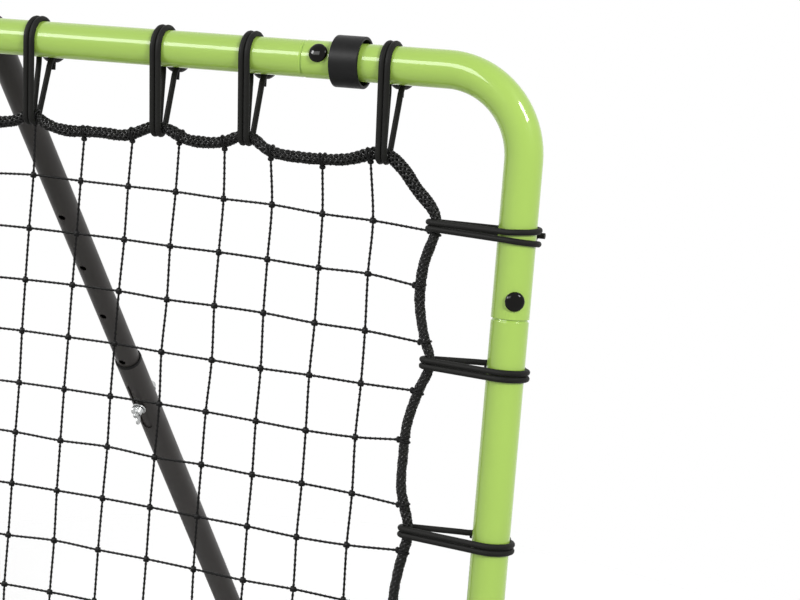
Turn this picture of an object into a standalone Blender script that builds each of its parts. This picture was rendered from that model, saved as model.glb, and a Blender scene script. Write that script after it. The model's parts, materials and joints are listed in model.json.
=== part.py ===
"""Multisport rebounder: an elastic net in a square tube frame that leans back on a hinged strut.

Metres, +Z up, +X to the player's right, +Y away from the player. The floor is Z = 0.
The net frame is modelled upright around its hinge axis and is then leaned back by one empty,
and the strut is modelled upright around its lower pivot and is aimed at its upper pivot by another.
"""
import math

import bmesh
import bpy
from mathutils import Matrix, Vector

# Net frame: a square of round steel tube, measured between tube axes
FRAME_WIDTH = 1.056
FRAME_HEIGHT = 1.056
TUBE_RADIUS = 0.016
TUBE_WALL = 0.0015
BEND_RADIUS = 0.071
LEG_ACROSS = 0.198
LEG_UP = 0.201
SOCKET_EXTRA = 0.0002
SWAGE_LENGTH = 0.042
SWAGE_DROP = 0.0019
SHOULDER = 0.0025
TUBE_SIDES = 12
BEND_STEPS = 6
LEAN = math.radians(12.0)

# Joint bolts of the corners, M6 with a mushroom head, turned outwards about their tubes
BOLT_INSET = 0.0155
BOLT_TURN_LEVEL = math.radians(18.0)
BOLT_TURN_SIDE = math.radians(25.0)
BOLT_RADIUS = 0.003
BOLT_HOLE = 0.0037
BOLT_HEAD_RADIUS = 0.0083
BOLT_HEAD_HEIGHT = 0.0046
NUT_RADIUS = 0.0057
NUT_HEIGHT = 0.005
NUT_BORE = 0.0037
BOLT_SIDES = 8

# Net: string mesh inside a border rope, tied to the tubes by ball bungees.
# A tie is its place from the corner and how far in from the tube axis it holds the rope. The
# side tubes have one more, whose place is from their middle.
NET_GAPS = 10
STRING_WIDTH = 0.002
ROPE_RADIUS = 0.0055
SCALLOP = 0.11
LEVEL_TIES = ((0.121, 0.074), (0.247, 0.069), (0.3305, 0.068), (0.458, 0.068))
SIDE_TIES = ((0.132, 0.071), (0.2435, 0.066), (0.387, 0.073))
MIDDLE_TIE = (0.0185, 0.070)
CORD_WIDTH = 0.010
CORD_THICKNESS = 0.0046
ROPE_BITE = 0.0018
STRING_ROOM = 0.009
BALL_RADIUS = 0.0122
BALL_DROP = 0.007
WRAP_STEPS = 6
WRAP_EASE = 1.05
LOOP_STEPS = 3

# Loose sleeves on the top tube
SLEEVE_PLACE = 0.158
SLEEVE_LENGTH = 0.026
SLEEVE_RADIUS = 0.0221
SLEEVE_WALL = 0.0027
SLEEVE_RIB_LENGTH = 0.006
SLEEVE_RIB_BORE = 0.0169

# Base: two rails with a bend at the back, joined by a rear bar. The hinges stand between a
# corner's nut and the first bottom ball, and the two rooms are what is left free beside them.
RAIL_HEIGHT = 0.022
HINGE_ROOM = 0.007
TIE_ROOM = 0.006
BASE_DEPTH = 0.841
RAIL_LEG = 0.150
RAIL_NOSE = 0.009
HINGE_BACK = 0.040
FOOT_INSET = 0.070
FOOT_LENGTH = 0.040
FOOT_WALL = 0.004
FOOT_GRIP = math.radians(118.0)
FOOT_STEPS = 9
PLUG_CAP = 0.003
PLUG_STUB = 0.004

# Strut: an inner tube that slides in an outer one, held by a bolt in a slot
PIVOT_BACK = 0.043
PIVOT_RISE = 0.044
OUTER_RADIUS = 0.0145
OUTER_WALL = 0.0012
INNER_RADIUS = 0.0127
INNER_WALL = 0.0012
STRUT_NOSE = 0.013
COLLAR_PLACE = 0.465
LOCK_PLACE = 0.530
SLOT_TRAVEL = 0.031
SLOT_WIDTH = 0.012
HOLE_PITCH = 0.075
HOLES_ABOVE = 4
HOLES_BELOW = 1
INNER_TAIL = 0.118

# Brackets and their M8 pivot bolts
EAR_THICKNESS = 0.003
EAR_RADIUS = 0.015
EAR_PLAY = 0.0005
PIN_RADIUS = 0.004
PIN_HOLE = 0.0046
OPEN_PIVOT_HOLE = 0.0054
PIN_HEAD_RADIUS = 0.0075
PIN_HEAD_HEIGHT = 0.0053
PIN_NUT_HEIGHT = 0.0065
PIN_SIDES = 10

# Wing nut, its washers and its bolt, M6
WASHER_RADIUS = 0.010
WASHER_THICKNESS = 0.0016
HUB_RADIUS = 0.0065
HUB_TOP_RADIUS = 0.0048
HUB_HEIGHT = 0.0075
WING_SPAN = 0.016
WING_TOP = 0.0145
WING_THICKNESS = 0.0022
LOCK_TIP = 0.004

GAP = 0.0003
MERGE = 0.00001
COLLECTION_NAME = "multisport_rebounder"

# Sizes that follow from the ones above
SOCKET_RADIUS = TUBE_RADIUS + SOCKET_EXTRA
SWAGE_RADIUS = TUBE_RADIUS - SWAGE_DROP
HALF_WIDTH = FRAME_WIDTH / 2
HALF_HEIGHT = FRAME_HEIGHT / 2
HALF_EARS = SOCKET_RADIUS + EAR_PLAY + EAR_THICKNESS
HINGE_PLACE = LEG_ACROSS - BOLT_INSET - NUT_RADIUS - HINGE_ROOM - HALF_EARS
FIRST_BOTTOM_TIE = HINGE_PLACE - HALF_EARS - GAP - PIN_HEAD_HEIGHT - TIE_ROOM - BALL_RADIUS
BOTTOM_TIES = ((FIRST_BOTTOM_TIE, LEVEL_TIES[0][1]),) + LEVEL_TIES[1:]
LEAST_REACH = min(reach for place, reach in LEVEL_TIES + SIDE_TIES)
HALF_BASE = HALF_WIDTH - HINGE_PLACE
BAND_BORE = (SOCKET_RADIUS + GAP) * WRAP_EASE
FRONT_REACH = HINGE_BACK * math.cos(LEAN) + BAND_BORE + CORD_THICKNESS
REAR_REACH = BASE_DEPTH + SOCKET_RADIUS + GAP + BOLT_HEAD_HEIGHT
HINGE_Y = (FRONT_REACH - REAR_REACH) / 2
HINGE = Vector((0, HINGE_Y, RAIL_HEIGHT))
TURN_BACK = Matrix.Rotation(-LEAN, 4, "X")
TOP_PIVOT = HINGE + TURN_BACK @ Vector((0, PIVOT_BACK - HINGE_BACK, FRAME_HEIGHT))
REAR_PIVOT = HINGE + Vector((0, BASE_DEPTH, PIVOT_RISE))
STRUT_LENGTH = (TOP_PIVOT - REAR_PIVOT).length
STRUT_TURN = math.atan2(REAR_PIVOT.y - TOP_PIVOT.y, TOP_PIVOT.z - REAR_PIVOT.z)

TO_FRONT = Matrix.Rotation(math.radians(90), 4, "X")
TO_BACK = Matrix.Rotation(math.radians(-90), 4, "X")
TO_RIGHT = Matrix.Rotation(math.radians(90), 4, "Y")
SIDE_ON = Matrix(((0, 0, 1, 0), (1, 0, 0, 0), (0, 1, 0, 0), (0, 0, 0, 1)))


def clear_scene():
    for obj in list(bpy.data.objects):
        bpy.data.objects.remove(obj, do_unlink=True)


def new_collection(name):
    collection = bpy.data.collections.new(name)
    bpy.context.scene.collection.children.link(collection)
    return collection


def material(name, colour, roughness, metallic=0.0):
    found = bpy.data.materials.get(name)
    if found:
        return found
    made = bpy.data.materials.new(name)
    made.use_nodes = True
    shader = made.node_tree.nodes["Principled BSDF"]
    shader.inputs["Base Color"].default_value = (*colour, 1)
    shader.inputs["Roughness"].default_value = roughness
    shader.inputs["Metallic"].default_value = metallic
    return made


def green_coat():
    return material("green_powder_coat", (0.36, 0.62, 0.13), 0.3)


def black_coat():
    return material("black_powder_coat", (0.045, 0.043, 0.042), 0.4)


def zinc():
    return material("zinc_plate", (0.72, 0.73, 0.72), 0.3, 1.0)


def black_steel():
    return material("black_steel", (0.02, 0.02, 0.02), 0.2, 0.6)


def black_plastic():
    return material("black_plastic", (0.03, 0.03, 0.032), 0.45)


def rubber():
    return material("black_rubber", (0.025, 0.025, 0.025), 0.8)


def elastic():
    return material("elastic_cord", (0.022, 0.021, 0.02), 0.7)


def string():
    return material("net_string", (0.03, 0.03, 0.03), 0.7)


def rope():
    return material("border_rope", (0.025, 0.025, 0.025), 0.6)


def add(name, data, parent, matrix, finish, collection):
    """Put a mesh in the scene at a matrix under its parent empty."""
    obj = bpy.data.objects.new(name, data)
    collection.objects.link(obj)
    obj.parent = parent
    obj.matrix_local = matrix
    if finish:
        data.materials.clear()
        data.materials.append(finish)
        data.shade_smooth()
        data.set_sharp_from_angle(angle=math.radians(40))
    return obj


def evaluated_mesh(obj):
    """The mesh of an object with its modifiers or bevel applied. The object is removed."""
    bpy.context.view_layer.update()
    graph = bpy.context.evaluated_depsgraph_get()
    mesh = bpy.data.meshes.new_from_object(obj.evaluated_get(graph))
    bpy.data.objects.remove(obj, do_unlink=True)
    return mesh


def weld(mesh):
    work = bmesh.new()
    work.from_mesh(mesh)
    bmesh.ops.remove_doubles(work, verts=work.verts, dist=MERGE)
    work.to_mesh(mesh)
    work.free()
    return mesh


def turned(profile, sides, closed=False):
    """Turn a profile of (radius, height) points about Z. It runs down the outer side."""
    mesh = bpy.data.meshes.new("profile")
    edges = [(i, i + 1) for i in range(len(profile) - 1)]
    if closed:
        edges.append((len(profile) - 1, 0))
    mesh.from_pydata([(radius, 0, height) for radius, height in profile], edges, [])
    obj = bpy.data.objects.new("profile", mesh)
    bpy.context.scene.collection.objects.link(obj)
    screw = obj.modifiers.new("turn", "SCREW")
    screw.steps = sides
    screw.render_steps = sides
    screw.use_merge_vertices = True
    screw.merge_threshold = MERGE
    return evaluated_mesh(obj)


def pipe(points, radius, sides, caps=False, cyclic=False):
    """A round tube along a line of points, open at its ends unless it has caps."""
    curve = bpy.data.curves.new("path", "CURVE")
    curve.dimensions = "3D"
    curve.bevel_depth = radius
    curve.bevel_resolution = sides // 2 - 2
    curve.use_fill_caps = caps
    spline = curve.splines.new("POLY")
    spline.points.add(len(points) - 1)
    for point, place in zip(spline.points, points):
        point.co = (*place, 1)
    spline.use_cyclic_u = cyclic
    obj = bpy.data.objects.new("path", curve)
    bpy.context.scene.collection.objects.link(obj)
    return weld(evaluated_mesh(obj))


def slab(outline, width):
    """A flat outline of (y, z) points, extruded along X by its width, centred on X = 0."""
    curve = bpy.data.curves.new("outline", "CURVE")
    curve.dimensions = "2D"
    curve.fill_mode = "BOTH"
    curve.extrude = width / 2
    spline = curve.splines.new("POLY")
    spline.points.add(len(outline) - 1)
    for point, (y, z) in zip(spline.points, outline):
        point.co = (y, z, 0, 1)
    spline.use_cyclic_u = True
    obj = bpy.data.objects.new("outline", curve)
    bpy.context.scene.collection.objects.link(obj)
    mesh = weld(evaluated_mesh(obj))
    mesh.transform(SIDE_ON)
    return mesh


def rod(radius, length, sides):
    """A plain cylinder along Z, centred."""
    work = bmesh.new()
    bmesh.ops.create_cone(work, cap_ends=True, segments=sides, radius1=radius, radius2=radius, depth=length)
    mesh = bpy.data.meshes.new("rod")
    work.to_mesh(mesh)
    work.free()
    return mesh


def block(size):
    work = bmesh.new()
    bmesh.ops.create_cube(work, size=1.0)
    bmesh.ops.scale(work, vec=size, verts=work.verts)
    mesh = bpy.data.meshes.new("block")
    work.to_mesh(mesh)
    work.free()
    return mesh


def arc(centre, radius, start, end, steps):
    """Points (y, z) on a circle, with angles in radians from +Y towards +Z."""
    turn = (end - start) / steps
    return [(centre[0] + radius * math.cos(start + turn * i), centre[1] + radius * math.sin(start + turn * i))
            for i in range(steps + 1)]


def many(copies):
    """One mesh that holds a copy of each mesh at its place, as separate solids."""
    work = bmesh.new()
    for mesh, place in copies:
        copy = mesh.copy()
        copy.transform(place)
        work.from_mesh(copy)
        bpy.data.meshes.remove(copy)
    joined = bpy.data.meshes.new("group")
    work.to_mesh(joined)
    work.free()
    return joined


def cut(obj, cutter):
    boolean = obj.modifiers.new("cut", "BOOLEAN")
    boolean.operation = "DIFFERENCE"
    boolean.object = cutter


def joined(obj, other):
    boolean = obj.modifiers.new("join", "BOOLEAN")
    boolean.operation = "UNION"
    boolean.object = other


def at(x, y, z):
    return Matrix.Translation((x, y, z))


class Builder:
    """Holds the two collections and the two empties that carry the leaning assemblies."""

    def __init__(self):
        self.parts = new_collection(COLLECTION_NAME)
        self.cutters = new_collection("cutters")
        self.frame = self.empty("net_frame_hinge", HINGE, -LEAN)
        self.strut = self.empty("strut_pivot", REAR_PIVOT, STRUT_TURN)
        self.base = self.empty("base", HINGE, 0.0)

    def empty(self, name, place, turn):
        obj = bpy.data.objects.new(name, None)
        self.parts.objects.link(obj)
        obj.matrix_world = Matrix.Translation(place) @ Matrix.Rotation(turn, 4, "X")
        return obj

    def part(self, name, mesh, parent, matrix, finish):
        return add(name, mesh, parent, matrix, finish, self.parts)

    def guide(self, name, mesh, parent, matrix):
        obj = add(name, mesh, parent, matrix, None, self.cutters)
        obj.hide_render = True
        obj.display_type = "WIRE"
        return obj


# Bolts, nuts and brackets

def mushroom_bolt(seat):
    """A bolt along Z with its head on top, through a tube whose surface is at the seat radius."""
    under = seat + GAP
    crown = under + BOLT_HEAD_HEIGHT
    tip = -(seat + 2 * GAP + NUT_HEIGHT + BOLT_RADIUS / 2)
    profile = [(0, crown), (BOLT_HEAD_RADIUS * 0.62, crown - BOLT_HEAD_HEIGHT * 0.22),
               (BOLT_HEAD_RADIUS, under), (BOLT_RADIUS, under), (BOLT_RADIUS, tip), (0, tip)]
    return turned(profile, BOLT_SIDES)


def nut(radius, height, bore, sides=6):
    """A hexagon nut from Z = 0 up to its height."""
    profile = [(radius, height), (radius, 0), (bore, 0), (bore, height)]
    return turned(profile, sides, closed=True)


def pivot_bolt(grip):
    """A hexagon bolt along Z that clamps a width of the grip, with its head at the top."""
    under = grip / 2 + GAP
    tip = -(grip / 2 + 2 * GAP + PIN_NUT_HEIGHT + PIN_RADIUS / 2)
    inside = under + PIN_HEAD_HEIGHT / 2
    shank = turned([(0, inside), (PIN_RADIUS, inside), (PIN_RADIUS, tip), (0, tip)], BOLT_SIDES)
    head = rod(PIN_HEAD_RADIUS, PIN_HEAD_HEIGHT, 6)
    head.transform(at(0, 0, inside))
    return shank, head


def add_pivot_bolt(builder, name, parent, matrix, grip):
    """The bolt lies along Z of the matrix, with its head at the far end and its nut at the near one."""
    shank, head = pivot_bolt(grip)
    bolt = builder.part(name + "_bolt", shank, parent, matrix, zinc())
    joined(bolt, builder.guide(name + "_head", head, parent, matrix))
    nut_mesh = nut(PIN_HEAD_RADIUS, PIN_NUT_HEIGHT, PIN_HOLE)
    seat = at(0, 0, -(grip / 2 + GAP + PIN_NUT_HEIGHT))
    builder.part(name + "_nut", nut_mesh, parent, matrix @ seat, zinc())


def bracket(builder, name, parent, matrix, inner, web, hole, finish):
    """A folded steel U: its web lies a distance in front of the pivot, and its ears hold the pivot.

    In its own frame the pivot is X through the origin and the web faces -Y.
    """
    outline = [(-web, EAR_RADIUS), (-web, -EAR_RADIUS)]
    outline += arc((0, 0), EAR_RADIUS, math.radians(-90), math.radians(90), 6)
    body = slab(outline, inner + 2 * EAR_THICKNESS)
    obj = builder.part(name, body, parent, matrix, finish)
    slot_depth = web - EAR_THICKNESS + 2 * EAR_RADIUS
    slot = block((inner, slot_depth, 4 * EAR_RADIUS))
    slot_place = at(0, slot_depth / 2 - web + EAR_THICKNESS, 0)
    cut(obj, builder.guide(name + "_slot", slot, parent, matrix @ slot_place))
    drill = rod(hole, inner + 4 * EAR_THICKNESS, PIN_SIDES)
    cut(obj, builder.guide(name + "_drill", drill, parent, matrix @ TO_RIGHT))
    return obj


# Net frame

def corner_piece(builder, name, side, up):
    """A hollow quarter bend with a leg each way. side is +1 on the right, up is +1 at the top."""
    points = [(-side * LEG_ACROSS, 0, 0)]
    for y, z in arc((-BEND_RADIUS, -BEND_RADIUS), BEND_RADIUS, math.radians(90), 0, BEND_STEPS):
        points.append((side * y, 0, up * z))
    points.append((0, 0, -up * LEG_UP))
    mesh = pipe(points, SOCKET_RADIUS, TUBE_SIDES)
    height = HALF_HEIGHT + up * HALF_HEIGHT
    obj = builder.part(name, mesh, builder.frame, at(side * HALF_WIDTH, -HINGE_BACK, height), green_coat())
    wall = obj.modifiers.new("wall", "SOLIDIFY")
    wall.thickness = TUBE_WALL
    wall.offset = -1
    return obj


def swaged_profile(half_length):
    """Both ends of a tube drawn down to fit inside the corner pieces."""
    seam = half_length - GAP
    full = seam - SHOULDER
    end = half_length + SWAGE_LENGTH
    outside = [(SWAGE_RADIUS, end), (SWAGE_RADIUS, seam), (TUBE_RADIUS, full)]
    inside = [(radius - TUBE_WALL, height - SHOULDER / 2) for radius, height in reversed(outside[1:])]
    inside.append((SWAGE_RADIUS - TUBE_WALL, end))
    bottom = [(radius, -height) for radius, height in reversed(outside)]
    bottom_inside = [(radius, -height) for radius, height in reversed(inside)]
    return outside + bottom + bottom_inside + inside


def straight_tube(builder, name, parent, matrix, half_length, finish):
    mesh = turned(swaged_profile(half_length), TUBE_SIDES, closed=True)
    return builder.part(name, mesh, parent, matrix, finish)


def frame_joints():
    """Where the eight corner bolts go, with the corner and the tube that each one holds."""
    along = HALF_WIDTH - LEG_ACROSS + BOLT_INSET
    upright = HALF_HEIGHT - LEG_UP + BOLT_INSET
    joints = []
    for side, hand in ((-1, "left"), (1, "right")):
        for up, level in ((-1, "bottom"), (1, "top")):
            place = at(side * along, -HINGE_BACK, HALF_HEIGHT + up * HALF_HEIGHT)
            outwards = Matrix.Rotation(-up * BOLT_TURN_LEVEL, 4, "X")
            joints.append((level + "_tube", hand, level, hand, place @ outwards))
            place = at(side * HALF_WIDTH, -HINGE_BACK, HALF_HEIGHT + up * upright)
            outwards = Matrix.Rotation(side * BOLT_TURN_SIDE, 4, "Z")
            joints.append((hand + "_tube", level, level, hand, place @ outwards))
    return joints


def add_joint(builder, name, parent, matrix, pieces):
    """One mushroom bolt and its nut, with their hole through the pieces that they hold."""
    drill = rod(BOLT_HOLE, 4 * TUBE_RADIUS, BOLT_SIDES)
    guide = builder.guide("drill_" + name, drill, parent, matrix)
    for piece in pieces:
        cut(piece, guide)
    builder.part("bolt_" + name, mushroom_bolt(SOCKET_RADIUS), parent, matrix, black_steel())
    seat = at(0, 0, -(SOCKET_RADIUS + GAP + NUT_HEIGHT))
    builder.part("nut_" + name, nut(NUT_RADIUS, NUT_HEIGHT, NUT_BORE), parent, matrix @ seat, zinc())


def build_frame(builder):
    pieces = {}
    for side, hand in ((-1, "left"), (1, "right")):
        for up, level in ((-1, "bottom"), (1, "top")):
            name = "corner_%s_%s" % (level, hand)
            pieces[name] = corner_piece(builder, name, side, up)
    across = HALF_WIDTH - LEG_ACROSS
    upright = HALF_HEIGHT - LEG_UP
    for name, height in (("bottom_tube", 0.0), ("top_tube", FRAME_HEIGHT)):
        place = at(0, -HINGE_BACK, height) @ TO_RIGHT
        pieces[name] = straight_tube(builder, name, builder.frame, place, across, green_coat())
    for name, side in (("left_tube", -1), ("right_tube", 1)):
        place = at(side * HALF_WIDTH, -HINGE_BACK, HALF_HEIGHT)
        pieces[name] = straight_tube(builder, name, builder.frame, place, upright, green_coat())
    for tube, end, level, hand, place in frame_joints():
        held = (pieces["corner_%s_%s" % (level, hand)], pieces[tube])
        add_joint(builder, "%s_%s" % (tube, end), builder.frame, place @ TO_FRONT, held)


# Net, border rope and ball bungees

def mirrored(ties, length):
    """The ties of a whole side, from those of its first half."""
    return sorted(list(ties) + [(length - place, reach) for place, reach in ties])


def rope_points(ties):
    """(place along a side, distance in from the tube axis) of the border rope's points."""
    points = [ties[0]]
    for (first, near), (second, far) in zip(ties, ties[1:]):
        sag = SCALLOP * (second - first)
        points.append(((first + second) / 2, (near + far) / 2 + sag))
        points.append((second, far))
    return points


def reach_at(place, points):
    """How far in from the tube axis the rope lies at a place along a side."""
    for (first, near), (second, far) in zip(points, points[1:]):
        if first <= place <= second:
            return near + (far - near) * (place - first) / (second - first)
    return LEAST_REACH


def clear_of_ties(place, ties):
    """Where a string meets the rope: at its own place, or just beside a bungee."""
    nearest = min((tie[0] for tie in ties), key=lambda tie: abs(tie - place))
    if abs(place - nearest) >= STRING_ROOM:
        return place
    return nearest + math.copysign(STRING_ROOM, place - nearest)


def side_to_frame(side, place, reach, back=0.0):
    """A point of the net frame from its side, its place along that side and its reach inwards."""
    if side == "top":
        return Vector((place - HALF_WIDTH, back - HINGE_BACK, FRAME_HEIGHT - reach))
    if side == "bottom":
        return Vector((place - HALF_WIDTH, back - HINGE_BACK, reach))
    if side == "left":
        return Vector((reach - HALF_WIDTH, back - HINGE_BACK, place))
    return Vector((HALF_WIDTH - reach, back - HINGE_BACK, place))


def side_ties(side):
    """The ties of a side. The bottom ones keep clear of the hinge bolts."""
    if side == "top":
        return mirrored(LEVEL_TIES, FRAME_WIDTH)
    if side == "bottom":
        return mirrored(BOTTOM_TIES, FRAME_WIDTH)
    place, reach = MIDDLE_TIE
    return sorted(mirrored(SIDE_TIES, FRAME_HEIGHT) + [(HALF_HEIGHT + place, reach)])


def net_corner(level):
    """The middle of the rope's straight run over a corner, as seen from that corner."""
    place, reach = side_ties(level)[0]
    side_place, side_reach = SIDE_TIES[0]
    return (place + side_reach) / 2, (side_place + reach) / 2


def build_net(builder):
    """A grid whose faces are inset and emptied. Its outer ring ends in tips against the rope."""
    work = bmesh.new()
    bmesh.ops.create_grid(work, x_segments=NET_GAPS, y_segments=NET_GAPS, size=NET_GAPS / 2)
    ties = {side: side_ties(side) for side in ("top", "bottom", "left", "right")}
    ropes = {side: rope_points(ties[side]) for side in ties}
    tip = ROPE_RADIUS
    pitch_x = (FRAME_WIDTH - 2 * LEAST_REACH - 2 * ROPE_RADIUS) / NET_GAPS
    pitch_z = (FRAME_HEIGHT - 2 * LEAST_REACH - 2 * ROPE_RADIUS) / NET_GAPS
    outer = NET_GAPS / 2 - 0.25
    for vertex in work.verts:
        across, up = vertex.co.x, vertex.co.y
        x = across * pitch_x
        z = HALF_HEIGHT + up * pitch_z
        on_side = abs(across) > outer
        on_level = abs(up) > outer
        side = "right" if across > 0 else "left"
        level = "top" if up > 0 else "bottom"
        if on_side and on_level:
            in_x, in_z = net_corner(level)
            x = math.copysign(HALF_WIDTH - in_x - tip, across)
            z = HALF_HEIGHT + math.copysign(HALF_HEIGHT - in_z - tip, up)
        elif on_side:
            place = clear_of_ties(z, ties[side])
            x = math.copysign(HALF_WIDTH - reach_at(place, ropes[side]) - tip, across)
            z = place
        elif on_level:
            place = clear_of_ties(x + HALF_WIDTH, ties[level])
            x = place - HALF_WIDTH
            z = HALF_HEIGHT + math.copysign(HALF_HEIGHT - reach_at(place, ropes[level]) - tip, up)
        vertex.co = (x, -HINGE_BACK, z)
    work.normal_update()
    cells = list(work.faces)
    inset = bmesh.ops.inset_individual(work, faces=cells, thickness=STRING_WIDTH / 2, use_even_offset=True)
    rim_strips = [face for face in inset["faces"] if any(edge.is_boundary for edge in face.edges)]
    bmesh.ops.delete(work, geom=cells + rim_strips, context="FACES")
    mesh = bpy.data.meshes.new("net")
    work.to_mesh(mesh)
    work.free()
    obj = builder.part("net", mesh, builder.frame, Matrix(), string())
    wall = obj.modifiers.new("string", "SOLIDIFY")
    wall.thickness = STRING_WIDTH
    wall.offset = 0


def bungee_line(reach):
    """The middle line of a bungee, in (y, z), with the tube axis at the origin and the net below it.

    From the ball behind the tube it goes over the tube, down its front, round the rope and back up.
    """
    wrap = BAND_BORE + CORD_THICKNESS / 2
    loop = ROPE_RADIUS - ROPE_BITE + CORD_THICKNESS / 2
    ball = Vector((ball_back(), -BALL_DROP))
    start = math.atan2(ball.y, ball.x) + math.asin(BALL_RADIUS / ball.length) / 2
    lean = math.asin((wrap - loop) / reach)
    line = arc((0, 0), wrap, start, math.pi + lean, WRAP_STEPS)
    rope_centre = Vector((0, -reach))
    to_ball = ball - rope_centre
    leave = math.atan2(to_ball.y, to_ball.x) - math.acos(loop / to_ball.length)
    line += arc(rope_centre, loop, math.pi + lean, 2 * math.pi + leave, LOOP_STEPS)
    line.append(tuple(ball - to_ball.normalized() * BALL_RADIUS / 2))
    return line


def ball_back():
    return SOCKET_RADIUS + GAP + BALL_RADIUS


def band_outline(line, thickness):
    """Both edges of a band around its middle line."""
    points = [Vector(point) for point in line]
    left, right = [], []
    for index, point in enumerate(points):
        before = points[max(index - 1, 0)]
        after = points[min(index + 1, len(points) - 1)]
        along = (after - before).normalized()
        offset = Vector((-along.y, along.x)) * thickness / 2
        left.append(point + offset)
        right.append(point - offset)
    return [tuple(point) for point in left + right[::-1]]


def tie_matrices(side):
    """(matrix, reach) of each bungee, whose own frame has X along the tube, Y back and Z off the net."""
    turns = {"top": 0.0, "right": 90.0, "bottom": 180.0, "left": -90.0}
    turn = Matrix.Rotation(math.radians(turns[side]), 4, "Y")
    return [(Matrix.Translation(side_to_frame(side, place, 0.0)) @ turn, reach)
            for place, reach in side_ties(side)]


def build_rope(builder):
    """The border rope with its bungees and their balls, which it carries, as one body."""
    loop = []
    for side, reverse in (("bottom", False), ("right", False), ("top", True), ("left", True)):
        points = [side_to_frame(side, *point) for point in rope_points(side_ties(side))]
        loop += reversed(points) if reverse else points
    border = pipe(loop, ROPE_RADIUS, 6, cyclic=True)
    obj = builder.part("border_rope", border, builder.frame, Matrix(), rope())
    ties = [tie for side in ("top", "bottom", "left", "right") for tie in tie_matrices(side)]
    bands = [(slab(band_outline(bungee_line(reach), CORD_THICKNESS), CORD_WIDTH), place)
             for place, reach in ties]
    work = bmesh.new()
    bmesh.ops.create_icosphere(work, subdivisions=1, radius=BALL_RADIUS)
    ball = bpy.data.meshes.new("ball")
    work.to_mesh(ball)
    work.free()
    ball.transform(at(0, ball_back(), -BALL_DROP))
    balls = [(ball, place) for place, reach in ties]
    joined(obj, builder.guide("bungee_cords", many(bands), builder.frame, Matrix()))
    joined(obj, builder.guide("bungee_balls", many(balls), builder.frame, Matrix()))


def build_sleeves(builder):
    """A loose sleeve near each end of the top tube, seated on a rib inside it."""
    half = SLEEVE_LENGTH / 2
    rib = SLEEVE_RIB_LENGTH / 2
    bore = SLEEVE_RADIUS - SLEEVE_WALL
    profile = [(SLEEVE_RADIUS, half), (SLEEVE_RADIUS, -half), (bore, -half), (bore, -rib),
               (SLEEVE_RIB_BORE, -rib), (SLEEVE_RIB_BORE, rib), (bore, rib), (bore, half)]
    for name, side in (("sleeve_left", -1), ("sleeve_right", 1)):
        mesh = turned(profile, TUBE_SIDES, closed=True)
        place = at(side * (HALF_WIDTH - SLEEVE_PLACE), -HINGE_BACK, FRAME_HEIGHT) @ TO_RIGHT
        builder.part(name, mesh, builder.frame, place, black_plastic())


def build_frame_brackets(builder):
    rail_room = 2 * SOCKET_RADIUS + 2 * EAR_PLAY
    for name, side in (("hinge_bracket_left", -1), ("hinge_bracket_right", 1)):
        place = at(side * HALF_BASE, 0, 0)
        web = HINGE_BACK - SOCKET_RADIUS - GAP
        bracket(builder, name, builder.frame, place, rail_room, web, PIN_HOLE, green_coat())
    place = at(0, PIVOT_BACK - HINGE_BACK, FRAME_HEIGHT)
    strut_room = 2 * INNER_RADIUS + 2 * EAR_PLAY
    web = PIVOT_BACK - TUBE_RADIUS - GAP
    bracket(builder, "strut_bracket", builder.frame, place, strut_room, web, PIN_HOLE, green_coat())
    add_pivot_bolt(builder, "top_pivot", builder.frame, place @ TO_RIGHT, strut_room + 2 * EAR_THICKNESS)


# Base

def rail(builder, name, side):
    """A rail from its hinge back to the rear bend, then in to the joint with the rear bar."""
    points = [(0, -RAIL_NOSE, 0)]
    centre = (-BEND_RADIUS, BASE_DEPTH - BEND_RADIUS)
    for x, y in arc(centre, BEND_RADIUS, 0, math.radians(90), BEND_STEPS):
        points.append((side * x, y, 0))
    points.append((-side * RAIL_LEG, BASE_DEPTH, 0))
    mesh = pipe(points, SOCKET_RADIUS, TUBE_SIDES)
    obj = builder.part(name, mesh, builder.base, at(side * HALF_BASE, 0, 0), black_coat())
    wall = obj.modifiers.new("wall", "SOLIDIFY")
    wall.thickness = TUBE_WALL
    wall.offset = -1
    drill = rod(PIN_HOLE, 4 * TUBE_RADIUS, PIN_SIDES)
    place = at(side * HALF_BASE, 0, 0) @ TO_RIGHT
    cut(obj, builder.guide(name + "_drill", drill, builder.base, place))
    return obj


def end_plug(radius, bore):
    """A plastic plug along Z: its cap starts at Z = 0 and its stub goes down into the tube."""
    stub = bore - 0.0004
    profile = [(0, PLUG_CAP), (radius - PLUG_CAP / 2, PLUG_CAP), (radius, PLUG_CAP / 2), (radius, 0),
               (stub, 0), (stub, -PLUG_STUB), (0, -PLUG_STUB)]
    return turned(profile, TUBE_SIDES)


def foot_outline():
    """A rubber clip under a rail: a flat sole, outer flanks and a round grip."""
    inner = SOCKET_RADIUS + GAP
    outer = inner + FOOT_WALL
    down = math.radians(-90)
    grip = arc((0, 0), inner / math.cos(FOOT_GRIP / FOOT_STEPS), down + FOOT_GRIP, down - FOOT_GRIP, FOOT_STEPS)
    flank = math.radians(28)
    sole = [(-outer * math.cos(flank), -RAIL_HEIGHT), (outer * math.cos(flank), -RAIL_HEIGHT)]
    left = arc((0, 0), outer, down - FOOT_GRIP, -math.pi + flank, 3)
    right = arc((0, 0), outer, -flank, down + FOOT_GRIP, 3)
    return left + sole + right + grip


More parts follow.
